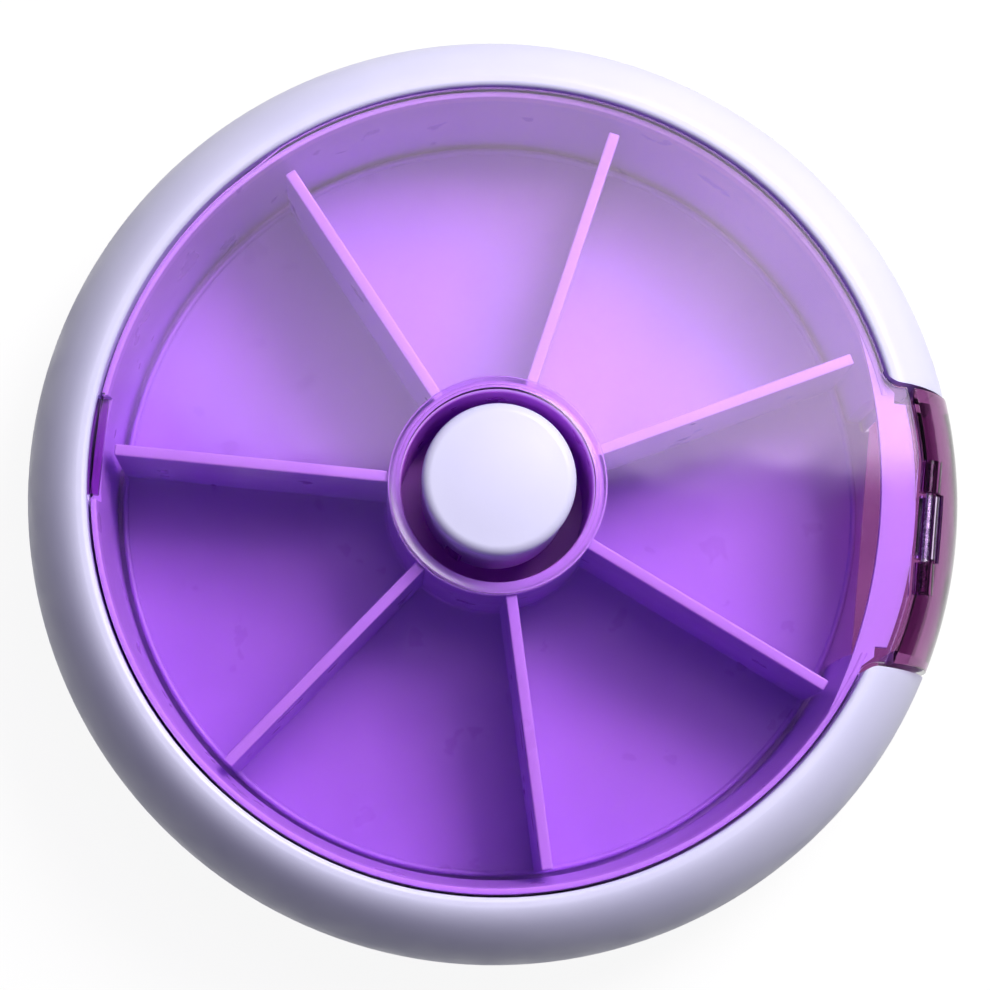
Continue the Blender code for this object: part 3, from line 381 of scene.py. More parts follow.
def mouldedPlastic(name, look):
    # opaque plastic: a faint cloudiness, uneven gloss and the grain of the mould
    finish, tree, shader, place = startFinish(name)
    cloud = mapRange(tree, noise(tree, place, look["cloudScale"], 4.0), 0.35, 0.65, 0, 1)
    colour = blendColours(tree, cloud, look["colour"], look["cloud"])
    if "paintedTopLightColour" in look:  # painted light: the tops of the hub, the dividers and the bowl are painted paler, as if lit
        paintedTopLight = heightMask(tree, place, *look["paintedTopLightLevels"])
        colour = blendColours(tree, paintedTopLight, colour, look["paintedTopLightColour"])
    if "paintedWellShadeColour" in look:  # painted shade: a deeper purple is painted inside the hub, standing in for the dim purple light in the button's well
        inPaintedWellShade = radiusMask(tree, place, *look["paintedWellShadeRadii"])
        colour = blendColours(tree, inPaintedWellShade, colour, look["paintedWellShadeColour"])
    tree.links.new(colour, shader.inputs["Base Color"])
    gloss = noise(tree, place, look["glossScale"], 3.0)
    low, high = look["roughness"]
    tree.links.new(mapRange(tree, gloss, 0.3, 0.7, low, high), shader.inputs["Roughness"])
    shader.inputs["IOR"].default_value = 1.5
    shader.inputs["Subsurface Weight"].default_value = look.get("glow", 0)
    shader.inputs["Subsurface Radius"].default_value = look.get("glowColour", (1, 1, 1))
    shader.inputs["Subsurface Scale"].default_value = look.get("glowDepth", 0.001)
    addGrain(tree, shader, place, look["grainScale"], look["grainDepth"])
    return finish


def clearPlastic(name, look):
    # tinted clear plastic, which lets the lamps' light through to what lies behind
    finish, tree, shader, place = startFinish(name)
    tint = mapRange(tree, noise(tree, place, look["cloudScale"], 2.0), 0.3, 0.7, 0, 1)
    colour = blendColours(tree, tint, look["colour"], look["cloud"])
    if "paintedShadeColour" in look:  # painted shade: the clear plastic under the plate, the hook tab and the hinge barrel's lower half, is painted dark
        paintedShadeBelow = heightMask(tree, place, *look["paintedShadeLevels"])
        colour = blendColours(tree, paintedShadeBelow, colour, look["paintedShadeColour"])
    tree.links.new(colour, shader.inputs["Base Color"])
    low, high = look["roughness"]
    gloss = mapRange(tree, noise(tree, place, look["glossScale"], 4.0), 0.35, 0.75, low, high)
    if "satin" in look:  # the bead round the hole is satin
        onBead = heightMask(tree, place, *look["satinLevels"])
        gloss = calculate(tree, "MAXIMUM", gloss, calculate(tree, "MULTIPLY", onBead, look["satin"]))
    tree.links.new(gloss, shader.inputs["Roughness"])
    shader.inputs["IOR"].default_value = 1.49
    shader.inputs["Transmission Weight"].default_value = 1.0
    addGrain(tree, shader, place, look["waveScale"], look["waveDepth"])
    passing = tree.nodes.new("ShaderNodeBsdfTransparent")
    passing.inputs["Color"].default_value = (*look["passing"], 1)
    ray = tree.nodes.new("ShaderNodeLightPath").outputs
    lighting = calculate(tree, "MAXIMUM", ray["Is Shadow Ray"], ray["Is Diffuse Ray"])
    surface = blendShaders(tree, lighting, shader.outputs["BSDF"], passing.outputs["BSDF"])
    tree.links.new(surface, tree.nodes["Material Output"].inputs["Surface"])
    return finish


def steel(name, look):
    # drawn or turned steel, with faint streaks in its gloss
    finish, tree, shader, place = startFinish(name)
    streaks = noise(tree, place, look["streakScale"], 6.0, 0.7)
    cloud = mapRange(tree, streaks, 0.3, 0.7, 0, 1)
    colour = blendColours(tree, cloud, look["colour"], look["cloud"])
    tree.links.new(colour, shader.inputs["Base Color"])
    low, high = look["roughness"]
    tree.links.new(mapRange(tree, streaks, 0.3, 0.7, low, high), shader.inputs["Roughness"])
    shader.inputs["Metallic"].default_value = 1.0
    addGrain(tree, shader, place, look["grainScale"], look["grainDepth"])
    return finish


whiteLook = {
    "colour": (0.73, 0.725, 0.97),
    "cloud": (0.765, 0.76, 0.99),
    "cloudScale": 60,
    "roughness": (0.30, 0.42),
    "glossScale": 350,
    "grainScale": 5200,
    "grainDepth": 0.0000035,
}
purpleLook = {
    "colour": (0.44, 0.215, 0.69),
    "cloud": (0.49, 0.245, 0.75),
    "cloudScale": 55,
    "roughness": (0.26, 0.40),
    "glossScale": 240,
    "grainScale": 4200,
    "grainDepth": 0.000004,
    # painted light: paler colour painted on the tops, above these levels
    "paintedTopLightColour": (0.66, 0.36, 0.95),
    "paintedTopLightLevels": (0.0183, 0.0185),
    "glow": 0.35,
    "glowColour": (1.0, 0.55, 1.0),
    "glowDepth": 0.0022,
}
# painted shade: deeper purple painted inside the hub, round the button's well
wheelPaint = {**purpleLook, "paintedWellShadeColour": (0.60, 0.12, 0.85), "paintedWellShadeRadii": (0.00925, 0.00913)}
# painted light: the bowl is a paler copy of the wheel's purple plastic, so its walls read lighter
paleLitBowlPaint = {**purpleLook, "colour": (0.53, 0.265, 0.80), "cloud": (0.58, 0.295, 0.87)}
coverLook = {
    "colour": (0.86, 0.68, 0.99),
    "cloud": (0.92, 0.74, 1.0),
    "cloudScale": 45,
    "roughness": (0.045, 0.07),
    "glossScale": 160,
    "waveScale": 70,
    "waveDepth": 0.00004,
    "passing": (0.94, 0.85, 1.0),
    # painted shade: dark colour painted below these levels
    "paintedShadeColour": (0.16, 0.01, 0.24),
    "paintedShadeLevels": (0.01965, 0.01945),
    "satin": 0.27,
    "satinLevels": (0.02085, 0.02095),
}
# painted shade: the door is a much darker copy of the tinted clear plastic, so it reads dark as in
# shade
shadedDoorLook = {
    "colour": (0.24, 0.06, 0.225),
    "cloud": (0.33, 0.10, 0.285),
    "cloudScale": 90,
    "roughness": (0.05, 0.09),
    "glossScale": 200,
    "waveScale": 110,
    "waveDepth": 0.00008,
    "passing": (0.46, 0.22, 0.46),
}
steelLook = {
    "colour": (0.56, 0.56, 0.58),
    "cloud": (0.68, 0.68, 0.69),
    "roughness": (0.18, 0.36),
    "streakScale": 1500,
    "grainScale": 6000,
    "grainDepth": 0.000002,
}
washerLook = {
    "colour": (0.80, 0.79, 0.74),
    "cloud": (0.86, 0.85, 0.81),
    "cloudScale": 300,
    "roughness": (0.42, 0.58),
    "glossScale": 900,
    "grainScale": 7000,
    "grainDepth": 0.000004,
}
whitePlastic = mouldedPlastic("whitePlastic", whiteLook)
wheelPlastic = mouldedPlastic("wheelPlastic", wheelPaint)
paleLitBowlPlastic = mouldedPlastic("paleLitBowlPlastic", paleLitBowlPaint)
coverPlastic = clearPlastic("coverPlastic", coverLook)
shadedDoorPlastic = clearPlastic("shadedDoorPlastic", shadedDoorLook)
drawnSteel = steel("drawnSteel", steelLook)
washerPlastic = mouldedPlastic("washerPlastic", washerLook)
print("finishes ready")


# upper white ring, open at the outlet
ringLook = {
    "rimRound": 0.0005,
    "fullness": 1.58,
    "lowerEdge": 0.00025,
    "lipHeight": 0.0010,
    "lipThickness": 0.0005,
    "skirtWall": 0.0012,
    "skirtBottom": 0.0120,
    "postRadius": 0.0016,
    "postTop": 0.0176,
    "holeTop": 0.0160,
    "pocketDepth": 0.0014,
    "pocketTop": 0.0198,
    "pocketDrop": 0.0023,
    "pocketHalfLength": 0.0050,
    "endEdge": 0.00030,
}
topCentre = housing["openingRadius"] + housing["rimLand"]
shoulderLevel = housingTop - housing["ringShoulder"]
cornerY = housing["outletHalfWidth"] + housing["cornerRadius"]
cornerX = math.sqrt((housing["openingRadius"] + housing["cornerRadius"]) ** 2 - cornerY**2)
cornerAngle = math.degrees(math.atan2(cornerY, cornerX))


def gapCorner(shrink, steps=10):
    # rounded corner of the outlet at +Y, from the rim out to the straight side
    radius = housing["cornerRadius"] + shrink
    return curve((cornerX, cornerY), (radius, radius), 180 + cornerAngle, 270, steps)


def ringOutside():
    rimRound = ringLook["rimRound"]
    rimCentre = (housing["openingRadius"] + rimRound, housingTop - rimRound)
    shoulderSizes = (outerRadius - topCentre, housing["ringShoulder"])
    return [
        *curve(rimCentre, (rimRound, rimRound), 180, 90, 6),
        *shoulder((topCentre, shoulderLevel), shoulderSizes, ringLook["fullness"], 36),
    ]


def outletCutter(name, halfWidth):
    # plan of the outlet, flared by the rounded corners at its inner side
    corner = gapCorner(0)
    side = [(corner[0][0] - gap["edge"], corner[0][1]), *corner, (outerRadius + gap["over"], halfWidth)]
    return raised(name, [*side, *mirrored(side)], -gap["over"], housingTop + gap["over"])


def roundEnds(piece, width):
    # edges of the flat faces beside the outlet are rounded, up to the corners' curve
    makeActive(piece)
    bpy.ops.object.mode_set(mode="EDIT")
    bpy.ops.mesh.select_mode(type="EDGE")
    bpy.ops.mesh.select_all(action="DESELECT")
    bpy.ops.object.mode_set(mode="OBJECT")
    mesh = piece.data
    flatSides = {}
    for face in mesh.polygons:
        beside = abs(abs(face.center.y) - housing["outletHalfWidth"]) < 10 * mergeDistance
        if beside and abs(face.normal.y) > 0.999:
            for key in face.edge_keys:
                flatSides[key] = flatSides.get(key, 0) + 1
    curveEnd = housing["openingRadius"] + housing["cornerRadius"]
    for edge in mesh.edges:
        reach = max(mesh.vertices[corner].co.xy.length for corner in edge.vertices)
        edge.select = flatSides.get(edge.key) == 1 and reach > curveEnd
    bpy.ops.object.mode_set(mode="EDIT")
    bpy.ops.mesh.bevel(offset=width, segments=3, affect="EDGES", clamp_overlap=True)
    bpy.ops.object.mode_set(mode="OBJECT")


def fillEnds(piece, filling):
    # the hollow shells are solid at both sides of the outlet
    start, sweep = housing["endStart"], housing["endSweep"]
    for turn in (start, -start - sweep):
        join(piece, partTurned("endFilling", filling, turn, sweep, 5))


def makeRimRing():
    wall = housing["wall"]
    centre = (topCentre, shoulderLevel)
    innerAcross = outerRadius - topCentre - wall
    rebateRadius = outerRadius - wall + ringLook["lipThickness"] + gap["fit"]
    rebateTop = housing["partingHeight"] + ringLook["lipHeight"] + 2 * gap["fit"]
    skirtOuter = housing["openingRadius"] + ringLook["skirtWall"]
    roofEnd = math.degrees(math.acos((skirtOuter - topCentre) / innerAcross))
    edge = ringLook["lowerEdge"]
    profile = [
        *ringOutside(),
        *curve((outerRadius - edge, ringBottom + edge), (edge, edge), 0, -90, 3),
        (rebateRadius, ringBottom),
        (rebateRadius, rebateTop),
        (outerRadius - wall, rebateTop),
        *curve(centre, (innerAcross, housing["ringShoulder"] - wall), 0, roofEnd, 12),
        (skirtOuter, ringLook["skirtBottom"]),
        (housing["openingRadius"], ringLook["skirtBottom"]),
    ]
    ring = turned("rimRing", profile)
    inset = housing["fillInset"]
    skirtMiddle = housing["openingRadius"] + ringLook["skirtWall"] / 2
    fillSizes = (outerRadius - topCentre - inset, housing["ringShoulder"] - inset)
    filling = [
        (skirtMiddle, housingTop - inset),
        *shoulder(centre, fillSizes, ringLook["fullness"], 12),
        (outerRadius - inset, ringBottom + gap["fit"]),
        (skirtMiddle, ringBottom + gap["fit"]),
    ]
    fillEnds(ring, filling)
    holeLow = ringBottom - gap["over"]
    for angle in housing["screwAngles"]:
        x, y = onCircle(housing["screwCircle"], angle)
        join(ring, post("screwPost", x, y, ringLook["postRadius"], ringBottom, ringLook["postTop"]))
        cut(ring, post("screwHole", x, y, housing["screwHole"], holeLow, ringLook["holeTop"]))
    pocketX = -housing["openingRadius"] - ringLook["pocketDepth"]
    length = ringLook["pocketHalfLength"]
    top = ringLook["pocketTop"]
    pocketEnd = gap["over"] - housing["openingRadius"]
    pocket = block("pocket", pocketX, pocketEnd, -length, length, top - ringLook["pocketDrop"], top)
    cut(ring, pocket, outletCutter("outlet", housing["outletHalfWidth"]))
    roundEnds(ring, ringLook["endEdge"])
    smooth(ring)
    dress(ring, whitePlastic, "base", "rim_ring")


makeRimRing()


# lower white shell, with the post for the button and the screws' counterbores
shellLook = {
    "floor": 0.0016,
    "footRecess": 0.0003,
    "footWidth": 0.0035,
    "edge": 0.00025,
    "lipHeight": 0.0010,
    "lipThickness": 0.0005,
    "lipClear": 0.0192,
    "recessRadius": 0.0034,
    "recessTop": 0.0041,
    "postRadius": 0.0040,
    "boreRadius": 0.0026,
    "postTop": 0.0132,
    "seatWidth": 0.0024,
    "seatRise": 0.0005,
    "blockSweep": 6.4,
    "counterbore": 0.00165,
    "counterboreTop": 0.0040,
    "floorEnd": 0.0369,  # where the floor stops at the outlet
}


def makeBaseShell():
    footRadius = housing["footRadius"]
    footInner = footRadius - shellLook["footWidth"]
    wallInner = outerRadius - housing["wall"]
    drop = housing["baseShoulder"]
    centre = (footRadius, drop)
    parting = housing["partingHeight"]
    edge = shellLook["edge"]
    lipOuter = wallInner + shellLook["lipThickness"]
    lipTop = parting + shellLook["lipHeight"]
    profile = [
        *curve((outerRadius - edge, parting - edge), (edge, edge), 90, 0, 3),
        *curve(centre, (outerRadius - footRadius, drop), 0, -90, 30),
        (footInner, 0),
        (footInner - shellLook["footRecess"], shellLook["footRecess"]),
        (shellLook["recessRadius"] + edge, shellLook["footRecess"]),
        (shellLook["recessRadius"], shellLook["footRecess"] + edge),
        (shellLook["recessRadius"], shellLook["floor"]),
        *curve(centre, (wallInner - footRadius, drop - shellLook["floor"]), -90, 0, 12),
        (wallInner, lipTop),
        (lipOuter, lipTop),
        (lipOuter, parting),
    ]
    shell = turned("baseShell", profile)
    seatRadius = shellLook["postRadius"] + shellLook["seatWidth"]
    seatTop = shellLook["floor"] + shellLook["seatRise"]
    middle = (shellLook["footRecess"] + shellLook["floor"]) / 2
    inside = shellLook["recessRadius"] - edge / 2
    postProfile = [
        (shellLook["postRadius"], shellLook["postTop"]),
        (shellLook["postRadius"], seatTop),
        (seatRadius, seatTop),
        (seatRadius, middle),
        (inside, middle),
        (inside, shellLook["recessTop"]),
        (shellLook["boreRadius"], shellLook["recessTop"]),
        (shellLook["boreRadius"], shellLook["postTop"]),
    ]
    join(shell, turned("post", postProfile, 96))
    inset = housing["fillInset"]
    fillTop = parting - gap["fit"]
    filling = [
        (outerRadius - inset, fillTop),
        *curve(centre, (outerRadius - footRadius - inset, drop - inset), 0, -90, 12),
        (housing["openingRadius"], inset),
        (housing["openingRadius"], fillTop),
    ]
    fillEnds(shell, filling)
    blockSweep = shellLook["blockSweep"]
    boreRadius, boreTop = shellLook["counterbore"], shellLook["counterboreTop"]
    holeLow = boreTop - gap["running"]
    for angle in housing["screwAngles"]:
        x, y = onCircle(housing["screwCircle"], angle)
        join(shell, partTurned("screwBlock", filling, angle - blockSweep / 2, blockSweep, 3))
        cut(shell, post("counterbore", x, y, boreRadius, -gap["over"], boreTop))
        cut(shell, post("screwHole", x, y, housing["screwHole"], holeLow, lipTop + gap["over"]))
    side = housing["outletHalfWidth"]
    reach = outerRadius + gap["over"]
    opening = block("opening", shellLook["floorEnd"], reach, -side, side, -gap["over"], housingTop)
    clear = shellLook["lipClear"]
    lipGap = block("lipGap", 0, reach, -clear, clear, parting, housingTop)
    cut(shell, opening, lipGap)
    smooth(shell)
    dress(shell, whitePlastic, "base", "base_shell")


makeBaseShell()


# the door's sizes, which the bowl's land over the outlet follows too
flapLook = {
    "wall": 0.0013,
    "bottom": 0.0010,
    "seam": 0.0004,
    "topChamfer": 0.00035,
    "cheek": 0.0012,
    "webX": 0.0373,
    "edge": 0.00022,
    "sweep": 44.0,
    "steps": 44,
}


# fixed purple bowl round the wheel
bowlLook = {
    "wall": 0.0012,
    "floor": 0.0009,
    "holeRadius": 0.0125,
    "studCircle": 0.0240,
    "studAngles": [80, 180, 280],
    "studHole": 0.0014,
    "mouthHalfWidth": 0.0124,
    "notchDrop": 0.0020,
    "notchHalfLength": 0.0050,
    "edge": 0.00018,
    "foot": 0.0006,  # rounding between the wall and the floor
    "spread": 0.00022,  # out to the ring, so that the seam stays thin
    "rim": 0.0006,
    "draft": 0.0055,  # the wall thickens from its rim down to here
    "lintelInner": 0.0366,
    "lintelOuter": 0.0399,
    "lintelHalfWidth": 0.0117,
    "lintelEnd": 31.0,  # degrees from the outlet's middle to where it runs out in the rim
    "lintelDrop": 0.0010,
    "sillStart": 0.0330,
    "sillHalfWidth": 0.0116,  # floor made straight in the mouth, up to the door
}


def lintelOutline():
    # land over the outlet's mouth, wider where it runs inside the door
    inner, outer = bowlLook["lintelInner"], bowlLook["lintelOuter"]
    half = bowlLook["lintelHalfWidth"]
    tie = bowlRadius - gap["edge"] / 2
    end = bowlLook["lintelEnd"]
    side = math.degrees(math.asin(half / outer))
    neckX = flapLook["webX"] - gap["fit"]
    turns = [end * step / 16 for step in range(-16, 17)]
    innerArc = [onCircle(inner + (tie - inner) * (turn / end) ** 2, turn) for turn in turns]
    outerArc = curve((0, 0), (outer, outer), side, -side, 16)
    neckY = bowlLook["mouthHalfWidth"] + gap["fit"]
    shoulderAngle = math.degrees(math.asin(housing["outletHalfWidth"] / tie)) + 1
    upper = [*curve((0, 0), (tie, tie), end - 1, shoulderAngle, 5), (neckX, neckY), (neckX, half)]
    return [*innerArc, *upper, *outerArc, *mirrored(upper)]


def makeTrayBowl():
    inner = bowlRadius - bowlLook["wall"]
    outer = bowlRadius + bowlLook["spread"]
    rimInner = outer - bowlLook["rim"]
    low, top = bowlLow.z, bowlHigh.z
    floorTop = low + bowlLook["floor"]
    edge = bowlLook["edge"]
    foot = bowlLook["foot"]
    profile = [
        *curve((outer - edge, top - edge), (edge, edge), 90, 0, 3),
        *curve((bowlRadius - foot, low + foot), (foot, foot), 0, -90, 5),
        (bowlLook["holeRadius"], low),
        (bowlLook["holeRadius"], floorTop),
        (inner, floorTop),
        (inner, top - bowlLook["draft"]),
        *curve((rimInner + edge, top - edge), (edge, edge), 180, 90, 3),
    ]
    bowl = turned("trayBowl", profile)
    studLow, studTop = low - gap["over"], floorTop + gap["over"]
    for angle in bowlLook["studAngles"]:
        x, y = onCircle(bowlLook["studCircle"], angle)
        cut(bowl, post("studHole", x, y, bowlLook["studHole"], studLow, studTop))
    half = bowlLook["mouthHalfWidth"]
    reach = outerRadius + gap["over"]
    above = housingTop + gap["over"]
    mouth = block("mouth", inner - 2 * bowlLook["wall"], reach, -half, half, floorTop, above)
    side = housing["outletHalfWidth"]
    skin = gap["skin"]
    webX = flapLook["webX"]
    sillHalf = bowlLook["sillHalfWidth"]
    sillLow, sillTop = low + skin, floorTop - skin
    join(bowl, block("sill", bowlLook["sillStart"], webX, -sillHalf, sillHalf, sillLow, sillTop))
    edgeCut = block("edgeCut", webX - gap["seam"] / 3, reach, -side, side, -gap["over"], above)
    length = bowlLook["notchHalfLength"]
    notchLow = top - bowlLook["notchDrop"]
    notch = block("notch", -outerRadius, gap["over"] - inner, -length, length, notchLow, above)
    cut(bowl, mouth, edgeCut, notch)
    lintel = raised("lintel", lintelOutline(), top - bowlLook["lintelDrop"], top - skin)
    softenEdges(lintel, bowlLook["edge"], 2, 50)
    join(bowl, lintel)
    smooth(bowl)
    dress(bowl, paleLitBowlPlastic, "base", "tray_bowl")


makeTrayBowl()


# purple wheel: floor, hub, seven dividers, boss and drive keys
wheelLook = {
    "floor": 0.0010,
    "dividers": 7,
    "dividerThickness": 0.0011,
    "dividerInset": 0.0001,
    "dividerDrop": 0.0007,
    "hubRadius": 0.0104,
    "hubWall": 0.0013,
    "bossRadius": 0.00535,
    "bossBore": 0.00435,
    "bossTop": 0.0140,
    "keys": 3,
    "keyThickness": 0.0011,
    "keyTip": 0.00675,
    "keyLow": 0.0080,
    "keyTop": 0.0134,
    "dimpleCircle": 0.0096,
    "dimpleRadius": 0.0013,
    "dimpleDepth": 0.0005,
    "edge": 0.00018,
    "fillet": 0.00035,
    "lipWidth": 0.0006,
    "lipRise": 0.00035,
}


def spoke(name, inner, outer, thickness, low, high, degrees):
    # an upright wall that runs outwards from the axis
    wallPiece = block(name, inner, outer, -thickness / 2, thickness / 2, low, high)
    wallPiece.data.transform(Matrix.Rotation(math.radians(degrees), 4, "Z"))
    return wallPiece


def makeWheel():
    low, hubTop = wheelLow.z, wheelHigh.z
    floorTop = low + wheelLook["floor"]
    middle = low + wheelLook["floor"] / 2
    edge = wheelLook["edge"]
    bore = wheelLook["bossBore"]
    boss = wheelLook["bossRadius"]
    hub = wheelLook["hubRadius"]
    hubInner = hub - wheelLook["hubWall"]
    fillet = wheelLook["fillet"]
    hubEdge = 2 * edge
    lip, rise = wheelLook["lipWidth"], wheelLook["lipRise"]
    profile = [
        (wheelRadius - lip, floorTop),
        *curve((wheelRadius - lip / 2, floorTop), (lip / 2, rise), 150, 0, 8),
        *curve((wheelRadius - edge, low + edge), (edge, edge), 0, -90, 2),
        (bore, low),
        (bore, wheelLook["bossTop"]),
        *curve((boss - edge, wheelLook["bossTop"] - edge), (edge, edge), 90, 0, 2),
        (boss, floorTop),
        (hubInner, floorTop),
        *curve((hubInner + hubEdge, hubTop - hubEdge), (hubEdge, hubEdge), 180, 90, 4),
        *curve((hub - hubEdge, hubTop - hubEdge), (hubEdge, hubEdge), 90, 0, 4),
        *curve((hub + fillet, floorTop + fillet), (fillet, fillet), 180, 270, 4),
    ]
    wheel = turned("carouselWheel", profile)
    step = 360 / wheelLook["dividers"]
    dividerTop = hubTop - wheelLook["dividerDrop"]
    wallInner = hub - wheelLook["hubWall"] / 2
    wallOuter = wheelRadius - wheelLook["dividerInset"]
    thickness = wheelLook["dividerThickness"]
    divider = spoke("divider", wallInner, wallOuter, thickness, middle, dividerTop, 0)
    softenEdges(divider, edge, 3)
    for number in range(wheelLook["dividers"]):
        copy = divider.copy()
        copy.data = divider.data.copy()
        bpy.context.collection.objects.link(copy)
        copy.data.transform(Matrix.Rotation(math.radians(step * (number + 0.5)), 4, "Z"))
        join(wheel, copy)
    bpy.data.objects.remove(divider)
    keyInner, keyTip = (bore + boss) / 2, wheelLook["keyTip"]
    keyLow, keyTop = wheelLook["keyLow"], wheelLook["keyTop"]
    for number in range(wheelLook["keys"]):
        turn = 360 / wheelLook["keys"] * number
        join(wheel, spoke("key", keyInner, keyTip, wheelLook["keyThickness"], keyLow, keyTop, turn))
    dimpleLow, dimpleTop = low - gap["over"], low + wheelLook["dimpleDepth"]
    for number in range(wheelLook["dividers"]):
        x, y = onCircle(wheelLook["dimpleCircle"], step * number)
        cut(wheel, post("dimple", x, y, wheelLook["dimpleRadius"], dimpleLow, dimpleTop, 24))
    smooth(wheel)
    dress(wheel, wheelPlastic, "carousel", "carousel")


makeWheel()


# tinted clear cover: plate, bead round the hole, tongue with a hinge barrel, hook tab
plateLook = {
    "thickness": 0.0011,
    "edge": 0.00022,
    "holeRadius": 0.0093,
    "beadWidth": 0.0011,
    "beadRise": 0.0004,
    "beadSlope": 0.00027,
    "beadRound": 0.00008,
    "seamEnd": 128.0,  # degrees to where the edge starts to draw in, and to where it ends
    "rearStart": 138.0,
    "slotHalfLength": 0.0050,
    "slotWidth": 0.0008,
    "tongueReach": 0.0015,
    "barrelRadius": 0.0010,
    "barrelHalfLength": 0.0030,
    "doorBarrelEnd": 0.0064,
    "webEnd": 0.00075,
    "hookReach": 0.0007,
    "hookLow": 0.0188,
    "hookTop": 0.0195,
    "hookRoot": 0.00035,
}
coverRadius = housing["openingRadius"] - gap["seam"]
coverTop = housingTop - 0.0002
coverUnder = coverTop - plateLook["thickness"]
tongueRadius = housing["openingRadius"] + plateLook["tongueReach"]


def coverOutline():
    sideY = housing["outletHalfWidth"] - gap["edge"]
    barrelEnd = plateLook["doorBarrelEnd"] + gap["fit"]
    slotHalf = plateLook["slotHalfLength"]
    rearRadius = housing["openingRadius"] - gap["edge"]  # clear of the ring as the cover lifts
    slotAngle = 180 - math.degrees(math.asin(slotHalf / rearRadius))
    frontEnd, rearStart = plateLook["seamEnd"], plateLook["rearStart"]
    frontTurn = curve((0, 0), (coverRadius, coverRadius), cornerAngle, frontEnd, 52)
    halfTurn = [*frontTurn, *curve((0, 0), (rearRadius, rearRadius), rearStart, slotAngle, 18)]
    sideAngle = math.degrees(math.asin(sideY / tongueRadius))
    notchAngle = math.degrees(math.asin(barrelEnd / tongueRadius))
    front = curve((0, 0), (tongueRadius, tongueRadius), notchAngle, sideAngle, 6)
    webHalf = plateLook["barrelHalfLength"] - gap["fit"]
    edgeX = hingePoint.x - plateLook["barrelRadius"] - gap["edge"]
    hinge = [(hingePoint.x - plateLook["webEnd"], webHalf), (edgeX, webHalf), (edgeX, barrelEnd)]
    corner = gapCorner(gap["edge"])
    slotEnd = (plateLook["slotWidth"] - coverRadius, slotHalf)
    upper = [*hinge, *front, *reversed(corner[1:]), *halfTurn, slotEnd]
    return [*upper, *mirrored(upper)]


def makeCover():
    plate = raised("clearCover", coverOutline(), coverUnder, coverTop)
    softenEdges(plate, plateLook["edge"], 3, 50)
    hole = plateLook["holeRadius"]
    outer = hole + plateLook["beadWidth"]
    middle = (coverUnder + coverTop) / 2
    half = plateLook["beadWidth"] / 2
    beadLow = coverUnder + gap["skin"]
    beadTop = coverTop + plateLook["beadRise"]
    soft = plateLook["beadRound"]
    softer = 2 * soft
    rimLevel = beadTop - plateLook["beadSlope"] - soft
    inset = hole + half + gap["fit"]
    bead = [
        (hole, rimLevel),
        *curve((hole + soft, rimLevel), (soft, soft), 180, 110, 4),
        *curve((outer - softer, beadTop - softer), (softer, softer), 110, 0, 6),
        (outer, middle),
        (inset, middle),
        (inset, beadLow),
        (hole, beadLow),
    ]
    barrelHalf = plateLook["barrelHalfLength"]
    barrel = hingeRod("barrel", plateLook["barrelRadius"], -barrelHalf, barrelHalf)
    boreHalf = barrelHalf + gap["over"]
    cut(barrel, hingeRod("bore", pinRadius + gap["fit"], -boreHalf, boreHalf))
    slotX = plateLook["slotWidth"] - coverRadius
    tipX = -housing["openingRadius"] - plateLook["hookReach"]
    rootX = slotX + plateLook["hookRoot"]
    hookHalf = plateLook["slotHalfLength"] - gap["edge"]
    neckX = slotX - plateLook["hookRoot"]
    hookLow, hookTop = plateLook["hookLow"], plateLook["hookTop"]
    side = [
        (tipX, hookLow),
        (rootX, hookLow),
        (rootX, middle),
        (neckX, middle),
        (neckX, hookTop),
        (tipX, hookTop),
    ]
    tab = pulled("tab", [(x, -hookHalf, z) for x, z in side], (0, 2 * hookHalf, 0))
    holeLow, holeTop = coverUnder - gap["over"], coverTop + gap["over"]
    cut(plate, post("hole", 0, 0, hole + half, holeLow, holeTop, turnSteps))
    join(plate, turned("bead", bead), barrel, tab)
    smooth(plate)
    dress(plate, coverPlastic, "cover", "clear_cover")


makeCover()


